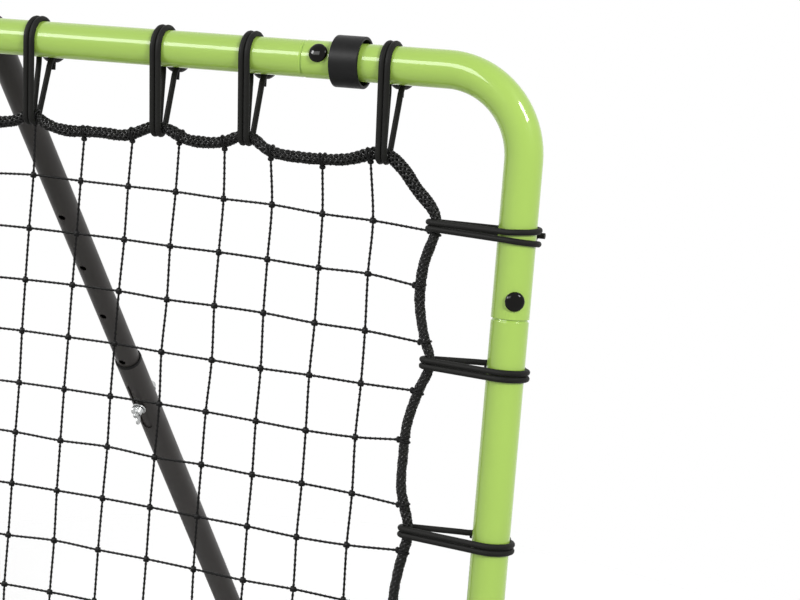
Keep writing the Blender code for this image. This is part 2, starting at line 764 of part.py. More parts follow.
def build_base(builder):
    pieces = {}
    grip = 2 * SOCKET_RADIUS + 2 * EAR_PLAY + 2 * EAR_THICKNESS
    for hand, side in (("left", -1), ("right", 1)):
        name = "base_rail_" + hand
        pieces[name] = rail(builder, name, side)
        plug = end_plug(SOCKET_RADIUS, SOCKET_RADIUS - TUBE_WALL)
        place = at(side * HALF_BASE, -RAIL_NOSE - GAP, 0) @ TO_FRONT
        builder.part("rail_plug_" + hand, plug, builder.base, place, black_plastic())
        outwards = Matrix.Rotation(side * math.radians(90), 4, "Y")
        add_pivot_bolt(builder, "hinge_" + hand, builder.base, at(side * HALF_BASE, 0, 0) @ outwards, grip)
        for end, y in (("front", FOOT_INSET), ("rear", BASE_DEPTH - BEND_RADIUS - FOOT_INSET)):
            foot = slab(foot_outline(), FOOT_LENGTH)
            foot.transform(Matrix.Rotation(math.radians(90), 4, "Z"))
            builder.part("foot_%s_%s" % (end, hand), foot, builder.base, at(side * HALF_BASE, y, 0), rubber())
    half_bar = HALF_BASE - RAIL_LEG
    bar_place = at(0, BASE_DEPTH, 0)
    bar = straight_tube(builder, "rear_bar", builder.base, bar_place @ TO_RIGHT, half_bar, black_coat())
    for hand, side in (("left", -1), ("right", 1)):
        matrix = at(side * (half_bar + BOLT_INSET), BASE_DEPTH, 0) @ TO_BACK
        add_joint(builder, "rear_bar_" + hand, builder.base, matrix, (pieces["base_rail_" + hand], bar))
    place = at(0, BASE_DEPTH, PIVOT_RISE) @ TO_FRONT
    room = 2 * OUTER_RADIUS + 2 * EAR_PLAY
    web = PIVOT_RISE - TUBE_RADIUS - GAP
    bracket(builder, "rear_bracket", builder.base, place, room, web, PIN_HOLE, black_coat())
    pivot = at(0, BASE_DEPTH, PIVOT_RISE) @ TO_RIGHT
    add_pivot_bolt(builder, "rear_pivot", builder.base, pivot, room + 2 * EAR_THICKNESS)


# Strut. In its own frame Z runs from the rear pivot up to the top pivot, and -Y faces the player.

def plain_tube(radius, wall, top, bottom):
    bore = radius - wall
    return turned([(radius, top), (radius, bottom), (bore, bottom), (bore, top)], TUBE_SIDES, closed=True)


def build_strut_outer(builder):
    top = STRUT_LENGTH - COLLAR_PLACE
    tube = plain_tube(OUTER_RADIUS, OUTER_WALL, top, -STRUT_NOSE)
    obj = builder.part("strut_outer_tube", tube, builder.strut, Matrix(), black_coat())
    drill = rod(PIN_HOLE, 4 * TUBE_RADIUS, PIN_SIDES)
    cut(obj, builder.guide("rear_pivot_drill", drill, builder.strut, TO_RIGHT))
    half = SLOT_WIDTH / 2
    outline = arc((SLOT_TRAVEL, 0), half, math.radians(-90), math.radians(90), 6)
    outline += arc((-SLOT_TRAVEL, 0), half, math.radians(90), math.radians(270), 6)
    slot = slab(outline, 4 * TUBE_RADIUS)
    lock = at(0, 0, STRUT_LENGTH - LOCK_PLACE)
    cut(obj, builder.guide("lock_slot", slot, builder.strut, lock @ SIDE_ON))


def build_strut_inner(builder):
    top = STRUT_LENGTH + STRUT_NOSE
    lock = STRUT_LENGTH - LOCK_PLACE
    tube = plain_tube(INNER_RADIUS, INNER_WALL, top, lock - INNER_TAIL)
    obj = builder.part("strut_inner_tube", tube, builder.strut, Matrix(), black_coat())
    drill = rod(OPEN_PIVOT_HOLE, 4 * TUBE_RADIUS, PIN_SIDES)
    place = at(0, 0, STRUT_LENGTH)
    cut(obj, builder.guide("top_pivot_drill", drill, builder.strut, place @ TO_RIGHT))
    for step in range(-HOLES_BELOW, HOLES_ABOVE + 1):
        drill = rod(BOLT_HOLE, 4 * TUBE_RADIUS, BOLT_SIDES)
        place = at(0, 0, lock + step * HOLE_PITCH) @ TO_FRONT
        cut(obj, builder.guide("setting_drill_%d" % (step + HOLES_BELOW), drill, builder.strut, place))
    plug = end_plug(INNER_RADIUS, INNER_RADIUS - INNER_WALL)
    builder.part("strut_head_plug", plug, builder.strut, at(0, 0, top + GAP), black_plastic())


def build_lock(builder):
    """The bolt through the slot and one setting hole, its washers and its wing nut in front."""
    lock = at(0, 0, STRUT_LENGTH - LOCK_PLACE) @ TO_FRONT
    seat = OUTER_RADIUS + GAP
    under_nut = seat + WASHER_THICKNESS + GAP
    washer = nut(WASHER_RADIUS, WASHER_THICKNESS, NUT_BORE, PIN_SIDES)
    for name, height in (("front", seat), ("rear", -seat - WASHER_THICKNESS)):
        builder.part("lock_washer_" + name, washer.copy(), builder.strut, lock @ at(0, 0, height), zinc())
    tip = under_nut + HUB_HEIGHT + LOCK_TIP
    inside = -under_nut - NUT_HEIGHT / 2
    shank = turned([(0, tip), (BOLT_RADIUS, tip), (BOLT_RADIUS, inside), (0, inside)], BOLT_SIDES)
    bolt = builder.part("lock_bolt", shank, builder.strut, lock, zinc())
    head = rod(NUT_RADIUS, NUT_HEIGHT, 6)
    joined(bolt, builder.guide("lock_head", head, builder.strut, lock @ at(0, 0, inside)))
    hub = turned([(0, HUB_HEIGHT), (HUB_TOP_RADIUS, HUB_HEIGHT), (HUB_RADIUS, 0), (0, 0)], PIN_SIDES)
    wing_nut = builder.part("wing_nut", hub, builder.strut, lock @ at(0, 0, under_nut), zinc())
    root = HUB_TOP_RADIUS * 0.5
    lobe = WING_SPAN * 0.3
    outline = [(root, HUB_HEIGHT * 0.12), (HUB_RADIUS, HUB_HEIGHT * 0.12)]
    outline += arc((WING_SPAN - lobe, WING_TOP - lobe), lobe, math.radians(-50), math.radians(130), 5)
    outline.append((root, HUB_HEIGHT * 0.85))
    for index, turn in enumerate((0.0, math.pi)):
        wing = slab(outline, WING_THICKNESS)
        place = lock @ at(0, 0, under_nut) @ Matrix.Rotation(turn, 4, "Z")
        joined(wing_nut, builder.guide("wing_%d" % index, wing, builder.strut, place))
    bore = rod(NUT_BORE, 4 * HUB_HEIGHT, BOLT_SIDES)
    cut(wing_nut, builder.guide("wing_nut_bore", bore, builder.strut, lock @ at(0, 0, under_nut)))


def main():
    clear_scene()
    builder = Builder()
    build_frame(builder)
    build_rope(builder)
    build_net(builder)
    build_sleeves(builder)
    build_frame_brackets(builder)
    build_base(builder)
    build_strut_outer(builder)
    build_strut_inner(builder)
    build_lock(builder)


main()
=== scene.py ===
"""Multisport rebounder: the finished look of the net frame, its net, its strut and its base.

Metres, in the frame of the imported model: +X to the player's right, +Y away from the player, +Z up.
"""
import json
import math
import random

import bmesh
import bpy
from bpy.props import FloatProperty, FloatVectorProperty, IntProperty, PointerProperty
from bpy.types import Operator, Panel, PropertyGroup
from mathutils import Matrix, Vector


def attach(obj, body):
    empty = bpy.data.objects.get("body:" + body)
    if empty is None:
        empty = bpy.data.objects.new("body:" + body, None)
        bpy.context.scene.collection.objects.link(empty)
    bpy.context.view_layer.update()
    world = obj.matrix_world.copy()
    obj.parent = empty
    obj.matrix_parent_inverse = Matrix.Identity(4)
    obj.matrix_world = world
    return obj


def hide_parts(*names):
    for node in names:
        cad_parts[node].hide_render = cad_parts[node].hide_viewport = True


bl_info = {
    "name": "Multisport Rebounder",
    "version": (1, 0, 0),
    "blender": (4, 5, 0),
    "location": "3D View > Sidebar > Rebounder",
    "description": "Builds a ball rebounder: a tube frame with an elastic net on a telescopic strut",
    "category": "Add Mesh",
}

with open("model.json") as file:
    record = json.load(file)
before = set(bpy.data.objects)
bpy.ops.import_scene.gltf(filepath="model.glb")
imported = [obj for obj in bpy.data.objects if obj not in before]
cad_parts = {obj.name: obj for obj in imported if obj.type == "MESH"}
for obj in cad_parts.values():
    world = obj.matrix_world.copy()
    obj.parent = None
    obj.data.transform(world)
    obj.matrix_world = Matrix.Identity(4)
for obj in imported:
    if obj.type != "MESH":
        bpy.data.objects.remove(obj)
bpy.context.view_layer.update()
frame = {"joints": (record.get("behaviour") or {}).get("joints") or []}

# Pivots and the strut's direction, as packed
JOINTS = {joint["name"]: joint for joint in frame["joints"]}
HINGE = Vector(JOINTS["frame_tilt"]["pos_m"])
REAR_PIVOT = Vector(JOINTS["strut_swing"]["pos_m"])
STRUT_AXIS = Vector(JOINTS["strut_slide"]["axis"])
SIDES = ("top", "right", "bottom", "left")

# Ties of half a side: place on the tube, place on the rope, how far in the rope lies, and its kind.
# Places run from the corner towards the middle, in metres. The places of the ties and the rope were
# first chosen one by one. Scratch scripts carried them over to the present size of the frame and
# printed them, and some ties were changed by hand after that.
TOP_TIES = ((0.1216, 0.1225, 0.0744, "over"), (0.2494, 0.2496, 0.0691, "over"),
            (0.3336, 0.3341, 0.0682, "over"), (0.4582, 0.4603, 0.0677, "over"))
BOTTOM_TIES = ((0.1066, 0.1080, 0.0744, "over"),) + TOP_TIES[1:]
SIDE_TIES = ((0.1322, 0.1306, 0.0705, "behind"), (0.2478, 0.2466, 0.0662, "over"),
             (0.3942, 0.3928, 0.0733, "over"))
# The middle tie of a side tube, with its places from the tube's middle, upwards
MIDDLE_TIE = (0.0185, 0.0209, 0.0700, "over")
# The border rope between its ties, as place from the corner and distance in from the tube axis
TOP_ROPE = ((0.1569, 0.0825), (0.1938, 0.0842), (0.2260, 0.0812), (0.2716, 0.0771), (0.3034, 0.0779),
            (0.3640, 0.0786), (0.3909, 0.0784), (0.4267, 0.0792), (0.4444, 0.0753), (0.4799, 0.0751),
            (0.5065, 0.0779))
SIDE_ROPE = ((0.1647, 0.0791), (0.1940, 0.0801), (0.2255, 0.0737), (0.2717, 0.0748), (0.3011, 0.0824),
             (0.3297, 0.0835), (0.3574, 0.0827), (0.4111, 0.0762), (0.4309, 0.0801), (0.4558, 0.0821),
             (0.4838, 0.0794))
CORNER_ROPE = ((0.1049, 0.0852), (0.0910, 0.1013), (0.0742, 0.1189))
# How far towards the middle the strings' ends lie from their even places on the rope. They were read
# by eye, in pixels, from the photograph beside a render, and turned into metres.
ROW_ENDS = (0.0050, 0.0042, 0.0042, -0.0033, -0.0033, 0.0017, -0.0042)
COLUMN_ENDS = (0.0058, 0.0058, 0.0058, 0.0015, 0.0012, -0.0012)

HANDS = ((-1, "left"), (1, "right"))
LEVELS = ((-1, "bottom"), (1, "top"))
BACK = Vector((0, 1, 0))

# Points that merge, and the least length that a line is divided by
MERGE = 0.00001
TINY = 1e-9
# Edges, in metres
TUBE_LIP = 0.0004
CUT_EDGE = 0.0003
BRACKET_EDGE = 0.0007
BRACKET_FOLD = 0.0022
SLEEVE_EDGE = 0.0008
FOOT_EDGE = 0.0009
# Room round a bolt and round a plug's stub
BOLT_PLAY = 0.0007
PLUG_PLAY = 0.0004
# Pivot bolts: the pitch, where the thread starts inside the grip, and how far the shank goes into the head
PIN_PITCH = 0.00125
THREAD_START = 0.002
SHANK_IN_HEAD = 0.001
# The rope's lumps: every few rings, their share of the girth, and how far the rope strays to and fro
LUMP_STEP, SLOW_STEP = 6, 40
LUMP, SLOW_LUMP = 0.06, 0.09
ROPE_STRAY = 0.0006
# How far along the rope a bungee's pinch, a thicker corner and the change to a thinner side reach
PINCH_REACH = 0.0075
CORNER_REACH = 0.04
SIDE_BLEND = 0.08
CORE_SHARE = 0.98
# Ball and cord radius together for which the points round a ball were chosen
BALL_WITH_CORD = 0.0148
CORD_IN_BALL = 0.004
HOLE_LIP = 0.0007
BALL_SEAM = 0.0003
# The net: the row where the fan is nil, how the sag ends, and the share of the frame outside which rope lies
FAN_MIDDLE = 3.5
SAG_BEYOND = 0.7
OUTER_SHARE = 0.3
JITTER_BACK = 0.6
# Angle and lift of a knot's two lobes
KNOT_LOBES = ((48, -0.0004), (-42, 0.0004))
LOOP_END = 0.0012
LOOP_LEAN = 0.0012
LOOP_KNOT = 0.0014
LOOP_STEP = 0.0022
# Angle of a rubber foot's sole, from level
SOLE_ANGLE = 28
SENSOR_WIDTH = 36.0
NEAR_CLIP = 0.05


def rotated(degrees, axis):
    return Matrix.Rotation(math.radians(degrees), 4, axis)


TO_RIGHT = rotated(90, "Y")
TO_FRONT = rotated(90, "X")
TO_BACK = rotated(-90, "X")


# Sizes and colours that a user would change

def length(name, description, default):
    return FloatProperty(name=name, description=description, default=default, min=0.0,
                         precision=4, subtype="DISTANCE", unit="LENGTH")


def turn(name, description, degrees):
    return FloatProperty(name=name, description=description, default=math.radians(degrees),
                         subtype="ANGLE", unit="ROTATION")


def count(name, description, default):
    return IntProperty(name=name, description=description, default=default, min=1)


def share(name, description, default):
    return FloatProperty(name=name, description=description, default=default, min=0.0,
                         subtype="FACTOR")


def colour(name, description, default):
    return FloatVectorProperty(name=name, description=description, default=default, size=3,
                               min=0.0, max=1.0, subtype="COLOR")


class FrameSizes(PropertyGroup):
    """Sizes of the leaning net frame."""
    width: length("Width", "Between the axes of the side tubes", 1.056)
    height: length("Height", "Between the axes of the top and bottom tubes", 1.056)
    lean: turn("Lean", "How far the net frame leans back", 12.0)
    hinge_back: length("Hinge set-back", "From the tubes' plane back to the hinge axis", 0.040)
    tube_radius: length("Tube radius", "Outside radius of the straight tubes", 0.016)
    tube_wall: length("Tube wall", "Wall of every frame tube", 0.0015)
    socket_extra: length("Socket extra", "How much wider the corner pieces are", 0.0002)
    bend_radius: length("Bend radius", "Middle radius of the corner bends", 0.071)
    leg_across: length("Leg across", "A corner piece's reach along the top or bottom tube", 0.198)
    leg_up: length("Leg up", "A corner piece's reach along the side tube", 0.201)
    swage_length: length("Swage length", "The drawn-down end that goes into the corner piece", 0.042)
    swage_drop: length("Swage drop", "How much narrower the drawn-down end is", 0.0019)
    shoulder: length("Shoulder", "Length of the taper to the drawn-down end", 0.0025)
    gap: length("Gap", "Between pieces that touch", 0.0003)
    tube_sides: count("Tube sides", "Facets round a tube", 56)


class FastenerSizes(PropertyGroup):
    """Sizes of the bolts, nuts, brackets and washers."""
    bolt_inset: length("Bolt inset", "From the end of a corner piece to its bolt", 0.0155)
    turn_level: turn("Level turn", "How far the level tubes' bolts point away from the net", 18.0)
    turn_side: turn("Side turn", "How far the side tubes' bolts point away from the net", 25.0)
    bolt_radius: length("Bolt radius", "M6 shank", 0.003)
    head_radius: length("Head radius", "Mushroom head", 0.0083)
    head_height: length("Head height", "Mushroom head", 0.0046)
    nut_radius: length("Nut radius", "M6 nut, over its corners", 0.0057)
    nut_height: length("Nut height", "M6 nut", 0.005)
    pin_radius: length("Pin radius", "M8 pivot bolt", 0.004)
    pin_head_radius: length("Pin head radius", "M8 head and nut, over their corners", 0.0075)
    pin_head_height: length("Pin head height", "M8 head", 0.0053)
    pin_nut_height: length("Pin nut height", "M8 nut", 0.0065)
    pin_hole: length("Pin hole", "Radius of the holes for the pivot bolts", 0.0046)
    ear_thickness: length("Ear thickness", "Steel of the brackets", 0.003)
    ear_radius: length("Ear radius", "Round end of the brackets' ears", 0.015)
    ear_play: length("Ear play", "Beside the tube between the ears", 0.0005)
    washer_radius: length("Washer radius", "M6 washer", 0.0076)
    washer_thickness: length("Washer thickness", "M6 washer", 0.0016)


class NetSizes(PropertyGroup):
    """Sizes of the border rope and the net."""
    rope_radius: length("Rope radius", "Outside radius of the border rope", 0.0056)
    strand_radius: length("Strand radius", "One strand of the rope", 0.00115)
    strands: count("Strands", "Strands of the rope that turn each way", 6)
    strand_pitch: length("Strand pitch", "Length of rope for a full turn of a strand", 0.030)
    strand_weave: length("Strand weave", "How far a strand rises and dips", 0.00045)
    rope_step: length("Rope step", "Between rings along the rope", 0.0011)
    side_thinner: share("Side thinner", "How much thinner the rope is down the sides", 0.17)
    corner_thicker: share("Corner thicker", "How much thicker the rope is round the corners", 0.14)
    pinch: share("Pinch", "Share of its radius that the rope keeps under a bungee", 0.80)
    string_radius: length("String radius", "Twisted net string", 0.00118)
    string_lay: length("String lay", "Length for a full twist of the string", 0.009)
    string_step: length("String step", "Between rings along a string", 0.0015)
    knot_radius: length("Knot radius", "One lobe of a knot", 0.0020)
    jitter: length("Knot jitter", "How far a knot lies from its even place", 0.0011)
    sag: length("Row sag", "How much lower a row lies for each column nearer the side", 0.0014)
    sag_columns: count("Sag columns", "Columns from the side that the sag reaches", 6)
    fan: length("Column fan", "How much the columns spread for each row and column", 0.00017)
    first_column: length("First column", "From the side tube's axis to the first knots", 0.12737)
    first_row: length("First row", "From the top tube's axis to the first knots", 0.12721)
    columns: count("Columns", "Columns of knots", 18)
    rows: count("Rows", "Rows of knots", 18)


class BungeeSizes(PropertyGroup):
    """Sizes of the ball bungees."""
    cord_radius: length("Cord radius", "Elastic cord", 0.0026)
    squeeze: share("Squeeze", "Share of its radius that a cord keeps above the tube", 0.70)
    strand_half: length("Strand spread", "From the middle of a pair to each strand", 0.0027)
    ball_radius: length("Ball radius", "Plastic ball", 0.0122)
    ball_back: length("Ball place", "From the tube axis back to the ball's middle", 0.0289)
    ball_drop: length("Ball drop", "From the tube axis to the ball's middle, towards the net", 0.0085)
    behind_drop: length("Behind drop", "The same for a bungee that lies behind", 0.0025)
    hole_radius: length("Hole radius", "Hole through the ball", 0.0036)
    stub: length("Stub", "Cut cord end beyond the ball", 0.006)
    step: length("Cord step", "Between rings along the cord", 0.0022)


class SleeveSizes(PropertyGroup):
    """Sizes of the loose sleeves on the top tube."""
    place: length("Place", "From the corner of the axes to the sleeve's middle", 0.158)
    length: length("Length", "Length of a sleeve", 0.026)
    radius: length("Radius", "Outside radius", 0.0221)
    wall: length("Wall", "Wall of a sleeve", 0.0027)
    rib_length: length("Rib length", "Rib inside that seats on the tube", 0.006)
    rib_bore: length("Rib bore", "Bore of that rib", 0.0169)


class BaseSizes(PropertyGroup):
    """Sizes of the ground frame."""
    width: length("Width", "Between the axes of the rails", 0.7558)
    depth: length("Depth", "From the hinge axis to the rear bar", 0.841)
    rail_leg: length("Rail leg", "From the rear corner to the joint with the rear bar", 0.150)
    rail_nose: length("Rail nose", "Rail in front of the hinge axis", 0.009)
    rail_height: length("Rail height", "Rail axis above the floor", 0.022)
    foot_inset: length("Foot inset", "From the hinge or the bend to the foot's middle", 0.070)
    foot_length: length("Foot length", "Length of a rubber foot", 0.040)
    foot_wall: length("Foot wall", "Wall of a rubber foot", 0.004)
    foot_grip: turn("Foot grip", "How far a foot reaches round its rail, each way from below", 118.0)
    plug_cap: length("Plug cap", "Cap of a tube plug", 0.003)
    plug_stub: length("Plug stub", "Part of a plug inside the tube", 0.004)


class StrutSizes(PropertyGroup):
    """Sizes of the telescopic strut and its lock."""
    pivot_back: length("Pivot set-back", "From the top tube's axis back to the upper pivot", 0.043)
    pivot_rise: length("Pivot rise", "Lower pivot above the rear bar's axis", 0.044)
    outer_radius: length("Outer radius", "Outer tube", 0.0145)
    inner_radius: length("Inner radius", "Inner tube", 0.0127)
    wall: length("Strut wall", "Wall of both strut tubes", 0.0012)
    nose: length("Nose", "Tube beyond each pivot", 0.013)
    collar: length("Collar place", "From the upper pivot to the end of the outer tube", 0.465)
    # The dark ring is painted shade: black plastic laid on the outer tube's end, where that end and the gap
    # round the inner tube lie in shade
    painted_shade_ring: length("Painted shade ring", "Dark ring on the end of the outer tube", 0.0028)
    lock: length("Lock place", "From the upper pivot to the lock bolt", 0.530)
    slot_travel: length("Slot travel", "Half of the slot, between its round ends", 0.031)
    slot_width: length("Slot width", "Across the slot", 0.012)
    hole_pitch: length("Hole pitch", "Between the setting holes", 0.075)
    inner_tail: length("Inner tail", "Inner tube below the lock bolt", 0.118)
    open_hole: length("Upper hole", "Radius of the hole for the upper pivot bolt", 0.0054)
    hub_radius: length("Hub radius", "Foot of the wing nut", 0.0060)
    hub_top: length("Hub top radius", "Top of the wing nut's hub", 0.0048)
    hub_height: length("Hub height", "Wing nut's hub", 0.0070)
    wing_span: length("Wing span", "From the bolt's axis to a wing's edge", 0.0138)
    wing_top: length("Wing top", "From the seat to a wing's top", 0.0130)
    wing_thickness: length("Wing thickness", "Across a wing", 0.0022)
    bolt_tip: length("Bolt tip", "Bolt beyond the wing nut", 0.004)


class Finishes(PropertyGroup):
    """Colours of the materials."""
    green: colour("Green powder coat", "Net frame", (0.420, 0.648, 0.103))
    black: colour("Black powder coat", "Strut and base", (0.045, 0.041, 0.0392))
    zinc: colour("Zinc plate", "Nuts, pivot bolts, wing nut", (0.52, 0.53, 0.53))
    steel: colour("Black steel", "Mushroom bolts", (0.003, 0.0025, 0.002))
    plastic: colour("Black plastic", "Balls, sleeves and plugs", (0.010, 0.010, 0.010))
    rubber: colour("Black rubber", "Feet", (0.025, 0.025, 0.025))
    elastic: colour("Elastic cord", "Bungee cords", (0.010, 0.010, 0.009))
    string: colour("Net string", "Net", (0.006, 0.006, 0.006))
    rope: colour("Border rope", "Rope round the net", (0.005, 0.005, 0.0045))


class StageSettings(PropertyGroup):
    """The floor, the light and the camera."""
    floor_radius: length("Floor radius", "Floor disc", 2.4)
    floor_keep: length("Floor shown", "Out to here the floor is solid, and then it fades out", 1.0)
    floor_fade: length("Floor fade", "Over this distance the floor fades out", 0.30)
    floor_colour: colour("Floor colour", "Pale floor", (0.85, 0.85, 0.85))
    floor_lift: share("Floor lift", "Brings the floor up to white, with the shadow kept", 0.38)
    ambient: share("Ambient", "Light from all round", 0.45)
    camera_place: FloatVectorProperty(name="Camera place", description="Where the photograph was taken",
                                      default=(1.01496, -1.88575, 1.40245), subtype="TRANSLATION",
                                      unit="LENGTH")
    camera_turn: FloatVectorProperty(name="Camera turn", description="Direction of the camera",
                                     default=tuple(math.radians(a) for a in (72.2432, -0.0053, 21.5882)),
                                     subtype="EULER", unit="ROTATION")
    lens: FloatProperty(name="Lens", description="Focal length on a 36 mm wide sensor", default=95.974,
                        unit="CAMERA")
    shift: FloatVectorProperty(name="Shift", description="The photograph is a corner of a larger one",
                               default=(0.08, 0.03), size=2)


SETTINGS = {"frame": FrameSizes, "fasteners": FastenerSizes, "net": NetSizes, "bungees": BungeeSizes,
            "sleeves": SleeveSizes, "base": BaseSizes, "strut": StrutSizes, "finishes": Finishes,
            "stage": StageSettings}


def settings(group):
    return getattr(bpy.context.scene, "rebounder_" + group)


# Places

def at(x, y, z):
    return Matrix.Translation((x, y, z))


def frame_place():
    """The net frame's own frame: hinge axis at the origin, tubes a set-back in front of it."""
    return Matrix.Translation(HINGE) @ Matrix.Rotation(-settings("frame").lean, 4, "X")


def base_place():
    return Matrix.Translation(HINGE)


def strut_place():
    """The strut's own frame: lower pivot at the origin, Z up to the upper pivot."""
    lean = math.atan2(-STRUT_AXIS.y, STRUT_AXIS.z)
    return Matrix.Translation(REAR_PIVOT) @ Matrix.Rotation(lean, 4, "X")


def strut_length():
    size, strut = settings("frame"), settings("strut")
    top = frame_place() @ Vector((0, strut.pivot_back - size.hinge_back, size.height))
    return (top - REAR_PIVOT).length


def socket_radius():
    size = settings("frame")
    return size.tube_radius + size.socket_extra


def on_side(side, place, reach, back=0.0):
    """A point of the net frame from its side, its place along that side and its reach inwards."""
    size = settings("frame")
    half, y = size.width / 2, back - size.hinge_back
    if side == "top":
        return Vector((place - half, y, size.height - reach))
    if side == "bottom":
        return Vector((place - half, y, reach))
    if side == "left":
        return Vector((reach - half, y, place))
    return Vector((half - reach, y, place))


def mirrored(points, whole):
    """Points of a half side, and the same from the other end."""
    return list(points) + [(whole - place, *rest) for place, *rest in reversed(points)]


def side_length(side):
    size = settings("frame")
    return size.width if side in ("top", "bottom") else size.height


def side_ties(side):
    """(place on the tube, place on the rope, reach, kind) of every tie of a side."""
    half = {"top": TOP_TIES, "bottom": BOTTOM_TIES}.get(side, SIDE_TIES)
    whole = side_length(side)
    ties = list(half)
    if half is SIDE_TIES:
        tube, rope, reach, kind = MIDDLE_TIE
        ties.append((whole / 2 + tube, whole / 2 + rope, reach, kind))
    return ties + [(whole - tube, whole - rope, reach, kind) for tube, rope, reach, kind in reversed(half)]


def side_rope(side):
    """(place, reach) of the rope along a side, from tie to tie."""
    half = TOP_ROPE if side in ("top", "bottom") else SIDE_ROPE
    ties = [(rope, reach) for tube, rope, reach, kind in side_ties(side)]
    return sorted(mirrored(half, side_length(side)) + ties)


# Meshes

def mesh_of(work, name):
    """End a bmesh: merge its doubles, turn its faces outwards and make it a mesh."""
    bmesh.ops.remove_doubles(work, verts=work.verts, dist=MERGE)
    bmesh.ops.recalc_face_normals(work, faces=work.faces)
    mesh = bpy.data.meshes.new(name)
    work.to_mesh(mesh)
    work.free()
    return mesh


def verts_of(items):
    return [item for item in items if isinstance(item, bmesh.types.BMVert)]


def show(name, data):
    obj = bpy.data.objects.new(name, data)
    bpy.context.scene.collection.objects.link(obj)
    return obj


def taken(obj):
    """The mesh of an object with its modifiers applied. The object is removed."""
    bpy.context.view_layer.update()
    graph = bpy.context.evaluated_depsgraph_get()
    mesh = bpy.data.meshes.new_from_object(obj.evaluated_get(graph))
    bpy.data.objects.remove(obj, do_unlink=True)
    return mesh


def outline_of(points, closed):
    """A few vertices joined by edges, in the XZ plane, to spin or to fill."""
    work = bmesh.new()
    verts = [work.verts.new((x, 0, z)) for x, z in points]
    for first, second in zip(verts, verts[1:]):
        work.edges.new((first, second))
    if closed:
        work.edges.new((verts[-1], verts[0]))
    return work


def lathe(name, profile, sides, closed=False):
    """A profile of (radius, height) points spun about Z."""
    work = outline_of(profile, closed)
    bmesh.ops.spin(work, geom=work.verts[:] + work.edges[:], cent=(0, 0, 0), axis=(0, 0, 1),
                   dvec=(0, 0, 0), angle=2 * math.pi, steps=sides, use_merge=True)
    return mesh_of(work, name)


def plate(name, outline, width):
    """A flat outline of (y, z) points, extruded along X by its width, centred on X = 0."""
    work = outline_of(outline, True)
    face = work.faces.new(work.verts[:])
    grown = bmesh.ops.extrude_face_region(work, geom=[face])["geom"]
    bmesh.ops.translate(work, verts=verts_of(grown), vec=(0, width, 0))
    bmesh.ops.translate(work, verts=work.verts, vec=(0, -width / 2, 0))
    bmesh.ops.rotate(work, verts=work.verts, cent=(0, 0, 0), matrix=Matrix.Rotation(math.radians(90), 3, "Z"))
    return mesh_of(work, name)


def arc(centre, radius, start, end, steps):
    """Points on a circle, with angles in degrees."""
    points = []
    for index in range(steps + 1):
        angle = math.radians(start + (end - start) * index / steps)
        points.append((centre[0] + radius * math.cos(angle), centre[1] + radius * math.sin(angle)))
    return points


def rod(radius, depth, sides):
    work = bmesh.new()
    bmesh.ops.create_cone(work, cap_ends=True, segments=sides, radius1=radius, radius2=radius, depth=depth)
    return mesh_of(work, "rod")


def placed(mesh, matrix):
    mesh.transform(matrix)
    if matrix.determinant() < 0:
        mesh.flip_normals()
    return mesh


def rounded(mesh, width, segments=2, angle=50):
    """Break the sharp edges of a mesh."""
    obj = show("rounded", mesh)
    bevel = obj.modifiers.new("rounded", "BEVEL")
    bevel.width = width
    bevel.segments = segments
    bevel.limit_method = "ANGLE"
    bevel.angle_limit = math.radians(angle)
    bevel.use_clamp_overlap = True
    return taken(obj)


def walled(mesh, wall):
    """Give an open skin its wall, inwards."""
    obj = show("walled", mesh)
    solid = obj.modifiers.new("wall", "SOLIDIFY")
    solid.thickness = wall
    solid.offset = -1
    return taken(obj)


def combined(mesh, others, operation):
    """Cut other meshes out of a mesh, or weld them on."""
    obj = show("combined", mesh)
    helpers = []
    for other in others:
        helper = show("helper", other)
        helpers.append(helper)
        boolean = obj.modifiers.new("combine", "BOOLEAN")
        boolean.operation = operation
        boolean.object = helper
        boolean.solver = "EXACT"
    mesh = taken(obj)
    for helper in helpers:
        bpy.data.objects.remove(helper, do_unlink=True)
    work = bmesh.new()
    work.from_mesh(mesh)
    bmesh.ops.dissolve_degenerate(work, edges=work.edges, dist=MERGE)
    return mesh_of(work, "combined")


def gathered(name, meshes):
    """One mesh that holds the given ones."""
    work = bmesh.new()
    for mesh in meshes:
        work.from_mesh(mesh)
    made = bpy.data.meshes.new(name)
    work.to_mesh(made)
    work.free()
    return made


def settle(name, mesh, surface, body, nodes, slot=None, sharp=38):
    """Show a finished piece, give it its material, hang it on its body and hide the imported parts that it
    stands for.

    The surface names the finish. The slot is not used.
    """
    material = finish(surface)
    slot = slot or surface
    obj = show(name, mesh)
    mesh.materials.clear()
    mesh.materials.append(material)
    mesh.shade_smooth()
    if sharp:
        mesh.set_sharp_from_angle(angle=math.radians(sharp))
        even = obj.modifiers.new("even_shading", "WEIGHTED_NORMAL")
        even.keep_sharp = True
    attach(obj, body)
    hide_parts(*nodes)
    return obj


# Lines for rope, cord and string

